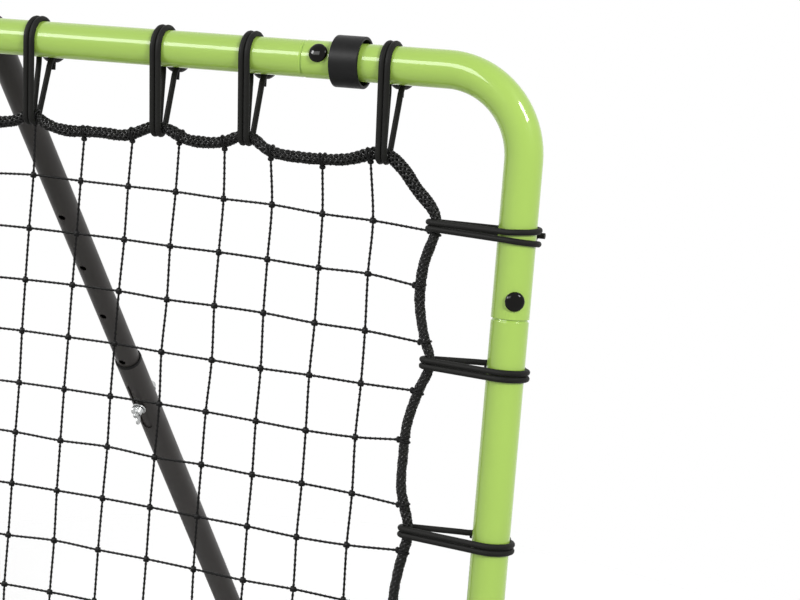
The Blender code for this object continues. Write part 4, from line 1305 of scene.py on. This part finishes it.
class BungeeBalls(Operator):
    """Build the plastic balls of the bungees"""
    bl_idname = "rebounder.bungee_balls"
    bl_label = "Bungee Balls"

    def execute(self, context):
        size = settings("bungees")
        radius, hole = size.ball_radius, size.hole_radius
        start = math.degrees(math.asin((hole + HOLE_LIP) / radius))
        skin = [(radius * math.sin(math.radians(angle)), radius * math.cos(math.radians(angle)))
                for angle in [start + (90 - start) * step / 9 for step in range(10)]]
        seam = [(radius * 1.008, BALL_SEAM)]
        lip = [(hole, skin[0][1] - 0.0006)]
        top = lip + skin[:-1] + seam
        profile = top + [(r, -z) for r, z in reversed(top)]
        for side in SIDES:
            balls = []
            for place, line, kind in tie_places(side):
                drop = ball_drop(kind)
                ball = lathe("ball", profile, 28, closed=True)
                balls.append(placed(ball, place @ at(0, size.ball_back, drop)))
            settle("bungee_balls_" + side, gathered("bungee_balls_" + side, balls),
                   "black_plastic", "net_frame", ["border_rope"], slot="border_rope")
        return {"FINISHED"}


def knot_grid():
    """The knots of the net, row by row from the top, with the strings' ends on the rope."""
    size, net = settings("frame"), settings("net")
    chance = random.Random(3)
    wide = (size.width - 2 * net.first_column) / (net.columns - 1)
    high = (size.height - 2 * net.first_row) / (net.rows - 1)
    middle = (net.columns - 1) / 2
    held = net.sag_columns - 1
    rows = []
    for row in range(-1, net.rows + 1):
        knots = []
        for column in range(-1, net.columns + 1):
            near = min(column, net.columns - 1 - column)
            inner = min(row, net.rows - 1 - row)
            sag = net.sag * (held / 2 - min(near, held + SAG_BEYOND))
            spread = near if near <= held else held * (middle - near) / (middle - held)
            fan = net.fan * (inner - FAN_MIDDLE) * spread
            across = size.width / 2 - net.first_column - near * wide - fan
            x = math.copysign(across, column - middle) + chance.uniform(-1, 1) * net.jitter
            y = chance.uniform(-1, 1) * net.jitter * JITTER_BACK - size.hinge_back
            z = size.height - net.first_row - row * high - sag + chance.uniform(-1, 1) * net.jitter
            knots.append(Vector((x, y, z)))
        rows.append(knots)
    line = rope_line()[::4]
    for number, row in enumerate(rows[1:-1]):
        inner = min(number, net.rows - 1 - number)
        inwards = ROW_ENDS[inner] if inner < len(ROW_ENDS) else 0.0
        shift = inwards * math.copysign(1, number - net.rows / 2 + 0.5)
        for end, sign in ((0, -1), (-1, 1)):
            near = [point for point in line if point.x * sign > size.width * OUTER_SHARE]
            row[end] = min(near, key=lambda point: abs(point.z - row[end].z - shift)).copy()
    for row, high_side in ((rows[0], True), (rows[-1], False)):
        for column in range(1, net.columns + 1):
            inner = min(column - 1, net.columns - column)
            inwards = COLUMN_ENDS[inner] if inner < len(COLUMN_ENDS) else 0.0
            want = row[column].x - math.copysign(1, row[column].x) * inwards
            near = [point for point in line if (point.z > size.height / 2) == high_side
                    and abs(point.z - size.height / 2) > size.height * OUTER_SHARE]
            row[column] = min(near, key=lambda point: abs(point.x - want)).copy()
    return rows


def knot_lobe(*stretch):
    """One lobe of a knot, to be copied."""
    work = bmesh.new()
    bmesh.ops.create_uvsphere(work, u_segments=8, v_segments=5, radius=settings("net").knot_radius)
    bmesh.ops.scale(work, vec=stretch, verts=work.verts)
    return mesh_of(work, "lobe")


def string_section():
    """The section of a string of two twisted strands."""
    radius = settings("net").string_radius
    return [(radius * (1 + 0.18 * math.cos(2 * angle)) * math.cos(angle),
             radius * (1 + 0.18 * math.cos(2 * angle)) * math.sin(angle))
            for angle in [2 * math.pi * side / 6 for side in range(6)]]


class Net(Operator):
    """Build the net: twisted strings, knots, and the loops that hold it on the rope"""
    bl_idname = "rebounder.net"
    bl_label = "Net"

    def execute(self, context):
        net = settings("net")
        rows = knot_grid()
        level = rows[1:-1]
        upright = [[row[column] for row in rows] for column in range(1, net.columns + 1)]
        chance = random.Random(8)
        for name, runs in (("net_rows", level), ("net_columns", upright)):
            lines, tilts = [], []
            for run in runs:
                run = self.drawn_back(run)
                line = smooth_line(run, net.string_step)
                begin = chance.uniform(0, 6.28)
                tilts.append([begin + 2 * math.pi * net.string_step * index / net.string_lay
                              for index in range(len(line))])
                lines.append(line)
            mesh = cords(name, lines, net.string_radius, 6, tilts, string_section())
            placed(mesh, frame_place())
            settle(name, mesh, "net_string", "net_frame", ["net"], sharp=0)
        self.build_knots(rows, chance)
        self.build_loops(level, upright)
        return {"FINISHED"}

    def drawn_back(self, run):
        """End a string in its loop's knot, just inside the rope."""
        room = settings("net").rope_radius + LOOP_END
        run = list(run)
        run[0] = run[0] + (run[1] - run[0]).normalized() * room
        run[-1] = run[-1] + (run[-2] - run[-1]).normalized() * room
        return run

    def build_knots(self, rows, chance):
        lobes = []
        lobe = knot_lobe(1.0, 1.0, 1.75)
        for row in rows[1:-1]:
            for knot in row[1:-1]:
                for angle, lift in KNOT_LOBES:
                    turned = rotated(angle + chance.uniform(-12, 12), "Y")
                    copy = lobe.copy()
                    lobes.append(placed(copy, Matrix.Translation(knot + Vector((0, lift, 0))) @ turned))
        mesh = gathered("net_knots", lobes)
        placed(mesh, frame_place())
        settle("net_knots", mesh, "net_string", "net_frame", ["net"], sharp=0)

    def build_loops(self, level, upright):
        """A loop of string round the rope at each end of each string, closed by a small knot."""
        net = settings("net")
        lines, knots = [], []
        lobe = knot_lobe(1.15, 1.0, 1.5)
        for run in level + upright:
            for end, inner in ((run[0], run[1]), (run[-1], run[-2])):
                around = net.rope_radius * 0.92 * girth_at(end)
                inwards = (inner - end).normalized()
                along = inwards.cross(BACK).normalized()
                for lean in (-LOOP_LEAN, LOOP_LEAN):
                    line = [end + inwards * (around + LOOP_END)]
                    for angle in range(-60, 241, 30):
                        turned = math.radians(angle)
                        line.append(end - inwards * math.sin(turned) * around
                                    + BACK * math.cos(turned) * around
                                    + along * lean * (1 + math.sin(turned)))
                    line.append(end + inwards * (around + LOOP_END))
                    lines.append(smooth_line(line, LOOP_STEP))
                knot = end + inwards * (around + LOOP_KNOT)
                turned = Vector((0, 0, 1)).rotation_difference(along).to_matrix().to_4x4()
                knots.append(placed(lobe.copy(), Matrix.Translation(knot) @ turned))
        loops = placed(cords("net_loops", lines, net.string_radius * 0.9, 6), frame_place())
        settle("net_loops", loops, "net_string", "net_frame", ["net"], sharp=0)
        ears = placed(gathered("net_loop_knots", knots), frame_place())
        settle("net_loop_knots", ears, "net_string", "net_frame", ["net"], sharp=0)


class Brackets(Operator):
    """Build the hinge brackets, the strut's upper bracket and its rear bracket"""
    bl_idname = "rebounder.brackets"
    bl_label = "Brackets"

    def execute(self, context):
        size, base = settings("frame"), settings("base")
        strut, bolt = settings("strut"), settings("fasteners")
        rail_room = 2 * socket_radius() + 2 * bolt.ear_play
        web = size.hinge_back - socket_radius() - size.gap
        for side, hand in HANDS:
            name = "hinge_bracket_" + hand
            mesh = placed(bracket(name, rail_room, web), frame_place() @ at(side * base.width / 2, 0, 0))
            settle("folded_" + name, mesh, "green_powder_coat", "net_frame", [name])
        room = 2 * strut.inner_radius + 2 * bolt.ear_play
        mesh = bracket("strut_bracket", room, strut.pivot_back - size.tube_radius - size.gap)
        placed(mesh, frame_place() @ at(0, strut.pivot_back - size.hinge_back, size.height))
        settle("folded_strut_bracket", mesh, "green_powder_coat", "net_frame", ["strut_bracket"])
        room = 2 * strut.outer_radius + 2 * bolt.ear_play
        mesh = bracket("rear_bracket", room, strut.pivot_rise - size.tube_radius - size.gap)
        placed(mesh, base_place() @ at(0, base.depth, strut.pivot_rise) @ TO_FRONT)
        settle("folded_rear_bracket", mesh, "black_powder_coat", "base", ["rear_bracket"])
        return {"FINISHED"}


class PivotBolts(Operator):
    """Build the four pivot bolts with their nuts"""
    bl_idname = "rebounder.pivot_bolts"
    bl_label = "Pivot Bolts"

    def execute(self, context):
        size, base = settings("frame"), settings("base")
        strut, bolt = settings("strut"), settings("fasteners")
        ears = 2 * bolt.ear_play + 2 * bolt.ear_thickness
        top = frame_place() @ at(0, strut.pivot_back - size.hinge_back, size.height) @ TO_RIGHT
        rear = base_place() @ at(0, base.depth, strut.pivot_rise) @ TO_RIGHT
        places = [("top_pivot", "net_frame", top, 2 * strut.inner_radius + ears),
                  ("rear_pivot", "base", rear, 2 * strut.outer_radius + ears)]
        for side, hand in HANDS:
            place = base_place() @ at(side * base.width / 2, 0, 0) @ rotated(side * 90, "Y")
            places.append(("hinge_" + hand, "base", place, 2 * socket_radius() + ears))
        for name, body, place, grip in places:
            for kind, mesh in zip(("bolt", "nut"), pivot_bolt_meshes(grip)):
                node = "%s_%s" % (name, kind)
                settle("zinc_" + node, placed(mesh, place), "zinc_plate", body, [node])
        return {"FINISHED"}


def tube_plug(name, radius, wall):
    """A plastic plug along Z: its cap starts at Z = 0 and its stub goes down into the tube."""
    size = settings("base")
    stub = radius - wall - PLUG_PLAY
    crown = arc((radius - size.plug_cap * 0.7, size.plug_cap * 0.3), size.plug_cap * 0.7, 90, 0, 5)
    profile = [(0, size.plug_cap)] + crown + [(radius, 0), (stub, 0), (stub, -size.plug_stub),
                                              (0, -size.plug_stub)]
    return lathe(name, profile, settings("frame").tube_sides)


class BaseFrame(Operator):
    """Build the two bent rails, the rear bar and the rail plugs"""
    bl_idname = "rebounder.base_frame"
    bl_label = "Base Frame"

    def execute(self, context):
        size, base = settings("frame"), settings("base")
        for side, hand in HANDS:
            name = "base_rail_" + hand
            mesh = bent_tube(name, base.depth + base.rail_nose, base.rail_leg, TUBE_LIP)
            laid = Matrix(((0, 0, side, 0), (1, 0, 0, 0), (0, 1, 0, 0), (0, 0, 0, 1)))
            corner = base_place() @ at(side * base.width / 2, base.depth, 0)
            placed(mesh, corner @ laid)
            drill = placed(rod(settings("fasteners").pin_hole, 4 * size.tube_radius, 32),
                           base_place() @ at(side * base.width / 2, 0, 0) @ TO_RIGHT)
            mesh = combined(mesh, [drill], "DIFFERENCE")
            settle("bent_" + name, mesh, "black_powder_coat", "base", [name])
            name = "rail_plug_" + hand
            place = base_place() @ at(side * base.width / 2, -base.rail_nose - size.gap, 0) @ TO_FRONT
            plug = placed(tube_plug(name, socket_radius(), size.tube_wall), place)
            settle("round_" + name, plug, "black_plastic", "base", [name])
        bar = placed(swaged_tube("rear_bar", base.width / 2 - base.rail_leg),
                     base_place() @ at(0, base.depth, 0) @ TO_RIGHT)
        settle("straight_rear_bar", bar, "black_powder_coat", "base", ["rear_bar"])
        return {"FINISHED"}


class Feet(Operator):
    """Build the four rubber feet that clip round the rails"""
    bl_idname = "rebounder.feet"
    bl_label = "Rubber Feet"

    def execute(self, context):
        size, base = settings("frame"), settings("base")
        inner = socket_radius() + size.gap
        outer = inner + base.foot_wall
        reach = math.degrees(base.foot_grip)
        grip = arc((0, 0), inner, -90 + reach, -90 - reach, 36)
        half = outer * math.cos(math.radians(SOLE_ANGLE))
        outline = arc((0, 0), outer, -90 - reach, SOLE_ANGLE - 180, 10)
        outline += [(-half, -base.rail_height), (half, -base.rail_height)]
        outline += arc((0, 0), outer, -SOLE_ANGLE, -90 + reach, 10) + grip
        for end, y in (("front", base.foot_inset), ("rear", base.depth - size.bend_radius - base.foot_inset)):
            for side, hand in HANDS:
                name = "foot_%s_%s" % (end, hand)
                mesh = rounded(plate(name, outline, base.foot_length), FOOT_EDGE, 3, 50)
                placed(mesh, rotated(90, "Z"))
                placed(mesh, base_place() @ at(side * base.width / 2, y, 0))
                settle("rubber_" + name, mesh, "black_rubber", "base", [name])
        return {"FINISHED"}


class StrutTubes(Operator):
    """Build the slotted outer tube, the inner tube with its setting holes, and its plug"""
    bl_idname = "rebounder.strut_tubes"
    bl_label = "Strut Tubes"

    def execute(self, context):
        size, strut, bolt = settings("frame"), settings("strut"), settings("fasteners")
        reach = strut_length()
        drill = placed(rod(bolt.pin_hole, 4 * size.tube_radius, 32), TO_RIGHT)
        half = strut.slot_width / 2
        outline = arc((strut.slot_travel, 0), half, -90, 90, 12)
        outline += arc((-strut.slot_travel, 0), half, 90, 270, 12)
        slot = plate("slot", [(z, y) for y, z in outline], 4 * size.tube_radius)
        placed(slot, at(0, 0, reach - strut.lock) @ rotated(90, "Z"))
        outer = self.plain_tube(strut.outer_radius, reach - strut.collar, -strut.nose)
        outer = rounded(combined(outer, [drill, slot], "DIFFERENCE"), CUT_EDGE, 2, 60)
        settle("strut_outer", placed(outer, strut_place()), "black_powder_coat", "strut_outer",
               ["strut_outer_tube"])
        # Painted shade: a black plastic ring on the outer tube's end darkens the end face and the gap round
        # the inner tube, which lie in shade
        end = reach - strut.collar + size.gap
        inside, outside = strut.inner_radius + size.gap, strut.outer_radius
        ring = lathe("painted_shade_ring", [(outside, end + strut.painted_shade_ring), (outside + size.gap, end), (inside, end),
                                 (inside, end + strut.painted_shade_ring)], size.tube_sides, closed=True)
        settle("strut_painted_shade_ring", placed(ring, strut_place()), "black_plastic", "strut_outer",
               ["strut_outer_tube"], slot="black_powder_coat")
        drills = [placed(rod(strut.open_hole, 4 * size.tube_radius, 32), at(0, 0, reach) @ TO_RIGHT)]
        for step in range(-1, 5):
            place = at(0, 0, reach - strut.lock + step * strut.hole_pitch) @ TO_FRONT
            drills.append(placed(rod(bolt.bolt_radius + BOLT_PLAY, 4 * size.tube_radius, 28), place))
        top = reach + strut.nose
        inner = self.plain_tube(strut.inner_radius, top, reach - strut.lock - strut.inner_tail)
        inner = rounded(combined(inner, drills, "DIFFERENCE"), CUT_EDGE, 2, 60)
        settle("strut_inner", placed(inner, strut_place()), "black_powder_coat", "strut_inner",
               ["strut_inner_tube"])
        plug = placed(tube_plug("strut_head_plug", strut.inner_radius, strut.wall),
                      strut_place() @ at(0, 0, top + size.gap))
        settle("round_strut_head_plug", plug, "black_plastic", "strut_inner", ["strut_head_plug"])
        return {"FINISHED"}

    def plain_tube(self, radius, top, bottom):
        bore = radius - settings("strut").wall
        sides = settings("frame").tube_sides
        profile = [(radius, top), (radius, bottom), (bore, bottom), (bore, top)]
        return lathe("strut_tube", profile, sides, closed=True)


class StrutLock(Operator):
    """Build the lock bolt, its two washers and its wing nut"""
    bl_idname = "rebounder.strut_lock"
    bl_label = "Strut Lock"

    def execute(self, context):
        size, strut, bolt = settings("frame"), settings("strut"), settings("fasteners")
        lock = strut_place() @ at(0, 0, strut_length() - strut.lock) @ TO_FRONT
        seat = strut.outer_radius + size.gap
        under = seat + bolt.washer_thickness + size.gap
        hole = bolt.bolt_radius + BOLT_PLAY
        profile = [(bolt.washer_radius, bolt.washer_thickness), (bolt.washer_radius, 0), (hole, 0),
                   (hole, bolt.washer_thickness)]
        for name, height in (("front", seat), ("rear", -seat - bolt.washer_thickness)):
            washer = rounded(lathe("washer", profile, 40, closed=True), CUT_EDGE, 2, 60)
            placed(washer, lock @ at(0, 0, height))
            settle("round_lock_washer_" + name, washer, "zinc_plate", "strut_inner",
                   ["lock_washer_" + name])
        tip = under + strut.hub_height + strut.bolt_tip
        shank = lathe("lock_bolt", threaded(bolt.bolt_radius, tip, -under - bolt.nut_height / 2), 28)
        head = hex_nut("lock_head", bolt.nut_radius, bolt.nut_height, 0)
        placed(head, at(0, 0, -under - bolt.nut_height))
        mesh = placed(gathered("lock_bolt", [shank, head]), lock)
        settle("threaded_lock_bolt", mesh, "zinc_plate", "strut_inner", ["lock_bolt"])
        nut = placed(self.wing_nut(hole), lock @ at(0, 0, under))
        settle("pressed_wing_nut", nut, "zinc_plate", "wing_nut",
               ["wing_nut"])
        return {"FINISHED"}

    def wing_nut(self, hole):
        strut = settings("strut")
        lip = 0.0008
        hub = lathe("hub", [(0, strut.hub_height), (strut.hub_top - lip, strut.hub_height),
                            (strut.hub_top, strut.hub_height - lip), (strut.hub_radius, lip),
                            (strut.hub_radius - lip, 0), (0, 0)], 40)
        root = strut.hub_top * 0.5
        lobe = strut.wing_span * 0.3
        outline = [(root, strut.hub_height * 0.12), (strut.hub_radius, strut.hub_height * 0.12)]
        outline += arc((strut.wing_span - lobe, strut.wing_top - lobe), lobe, -50, 130, 14)
        outline.append((root, strut.hub_height * 0.85))
        wings = []
        for half_turn in (0.0, math.pi):
            wing = rounded(plate("wing", outline, strut.wing_thickness), lip, 3, 50)
            wings.append(placed(wing, Matrix.Rotation(half_turn, 4, "Z")))
        body = combined(hub, wings, "UNION")
        return combined(body, [rod(hole, 4 * strut.hub_height, 28)], "DIFFERENCE")


class Stage(Operator):
    """Build the pale floor, the white surround, the lamps and the camera"""
    bl_idname = "rebounder.stage"
    bl_label = "Stage"

    def execute(self, context):
        self.floor()
        self.surround(context.scene)
        aim = Vector((0.1, 0.0, 0.75))
        self.lamp("key", (2.7, -1.8, 2.6), aim, (0.8, 0.8), 56.0, gloss=False)
        self.lamp("left", (-1.3, -2.3, 2.3), aim, (0.35, 0.35), 17.0, gloss=False)
        self.lamp("back", (0.2, 2.4, 2.2), aim, (1.6, 1.2), 12.0, gloss=False)
        # Soft boxes that only glossy surfaces show
        top_left = Vector((-0.95, -0.178, 1.05))
        self.lamp("long_box", (-0.95, -2.37, 2.78), top_left, (2.4, 1.0), 60.0, light=False)
        self.lamp("left_box", (-1.88, -1.56, 2.59), aim, (0.8, 0.8), 80.0, light=False)
        self.lamp("right_box", (2.73, -0.67, 2.90), aim, (0.8, 0.8), 50.0, light=False)
        self.camera(context.scene)
        view = context.scene.view_settings
        view.view_transform = "Standard"
        return {"FINISHED"}

    def floor(self):
        stage = settings("stage")
        work = bmesh.new()
        bmesh.ops.create_circle(work, cap_ends=True, segments=96, radius=stage.floor_radius)
        mesh = bpy.data.meshes.new("floor")
        work.to_mesh(mesh)
        work.free()
        obj = show("pale_floor", mesh)
        made = Nodes("pale_floor", tuple(stage.floor_colour), 0.9, specular=0.1)
        made.tint(made.noise(3.0, 3.0), 0.985, 1.0)
        shape = made.add("ShaderNodeVectorMath", operation="LENGTH")
        made.link(made.place(), shape.inputs[0])
        fade = made.add("ShaderNodeMapRange", interpolation_type="SMOOTHSTEP")
        fade.inputs["From Min"].default_value = stage.floor_keep
        fade.inputs["From Max"].default_value = stage.floor_keep + stage.floor_fade
        made.link(shape.outputs["Value"], fade.inputs["Value"])
        seen = made.add("ShaderNodeLightPath").outputs["Is Camera Ray"]
        made.shader.inputs["Emission Color"].default_value = (1, 1, 1, 1)
        made.link(made.math("MULTIPLY", seen, stage.floor_lift), made.shader.inputs["Emission Strength"])
        clear = made.add("ShaderNodeBsdfTransparent")
        mix = made.add("ShaderNodeMixShader")
        out = made.tree.nodes["Material Output"]
        made.link(fade.outputs["Result"], mix.inputs["Fac"])
        made.link(made.shader.outputs["BSDF"], mix.inputs[1])
        made.link(clear.outputs["BSDF"], mix.inputs[2])
        made.link(mix.outputs["Shader"], out.inputs["Surface"])
        mesh.materials.append(made.material)

    def surround(self, scene):
        stage = settings("stage")
        world = bpy.data.worlds.new("surround")
        scene.world = world
        world.use_nodes = True
        tree = world.node_tree
        soft = tree.nodes["Background"]
        soft.inputs["Color"].default_value = (1.0, 1.0, 1.0, 1)
        soft.inputs["Strength"].default_value = stage.ambient
        white = tree.nodes.new("ShaderNodeBackground")
        white.inputs["Color"].default_value = (1, 1, 1, 1)
        white.inputs["Strength"].default_value = 1.0
        path = tree.nodes.new("ShaderNodeLightPath")
        seen = path.outputs["Is Camera Ray"]
        for other in ("Is Glossy Ray", "Is Transmission Ray"):
            node = tree.nodes.new("ShaderNodeMath")
            node.operation = "MAXIMUM"
            tree.links.new(seen, node.inputs[0])
            tree.links.new(path.outputs[other], node.inputs[1])
            seen = node.outputs[0]
        mix = tree.nodes.new("ShaderNodeMixShader")
        tree.links.new(seen, mix.inputs["Fac"])
        tree.links.new(soft.outputs["Background"], mix.inputs[1])
        tree.links.new(white.outputs["Background"], mix.inputs[2])
        tree.links.new(mix.outputs["Shader"], tree.nodes["World Output"].inputs["Surface"])

    def lamp(self, name, place, aim, size, power, light=True, gloss=True):
        data = bpy.data.lights.new(name, "AREA")
        data.shape = "RECTANGLE"
        data.size, data.size_y = size
        data.energy = power
        obj = show(name, data)
        obj.visible_diffuse = light
        obj.visible_glossy = gloss
        obj.location = place
        obj.rotation_euler = (aim - Vector(place)).to_track_quat("-Z", "Y").to_euler()

    def camera(self, scene):
        stage = settings("stage")
        data = bpy.data.cameras.new("photograph")
        data.lens = stage.lens
        data.shift_x, data.shift_y = stage.shift
        data.sensor_width = SENSOR_WIDTH
        data.sensor_fit = "HORIZONTAL"
        data.clip_start = NEAR_CLIP
        obj = show("photograph", data)
        obj.location = stage.camera_place
        obj.rotation_euler = stage.camera_turn
        scene.camera = obj


PIECES = (FrameCorners, FrameTubes, JointBolts, Sleeves, BorderRope, BungeeCords, BungeeBalls, Net,
          Brackets, PivotBolts, BaseFrame, Feet, StrutTubes, StrutLock, Stage)


class RebounderPanel(Panel):
    """Sizes and pieces of the rebounder"""
    bl_label = "Rebounder"
    bl_idname = "VIEW3D_PT_rebounder"
    bl_space_type = "VIEW_3D"
    bl_region_type = "UI"
    bl_category = "Rebounder"

    def draw(self, context):
        layout = self.layout
        for piece in PIECES:
            layout.operator(piece.bl_idname)
        for group in SETTINGS:
            box = layout.box()
            box.label(text=group.capitalize())
            values = settings(group)
            for name in values.bl_rna.properties.keys():
                if name not in ("rna_type", "name"):
                    box.prop(values, name)


CLASSES = tuple(SETTINGS.values()) + PIECES + (RebounderPanel,)


def register():
    for cls in CLASSES:
        bpy.utils.register_class(cls)
    for group, cls in SETTINGS.items():
        setattr(bpy.types.Scene, "rebounder_" + group, PointerProperty(type=cls))


def unregister():
    for group in SETTINGS:
        delattr(bpy.types.Scene, "rebounder_" + group)
    for cls in reversed(CLASSES):
        bpy.utils.unregister_class(cls)


def main():
    register()
    for piece in PIECES:
        group, name = piece.bl_idname.split(".")
        getattr(getattr(bpy.ops, group), name)()


if __name__ == "__main__":
    main()
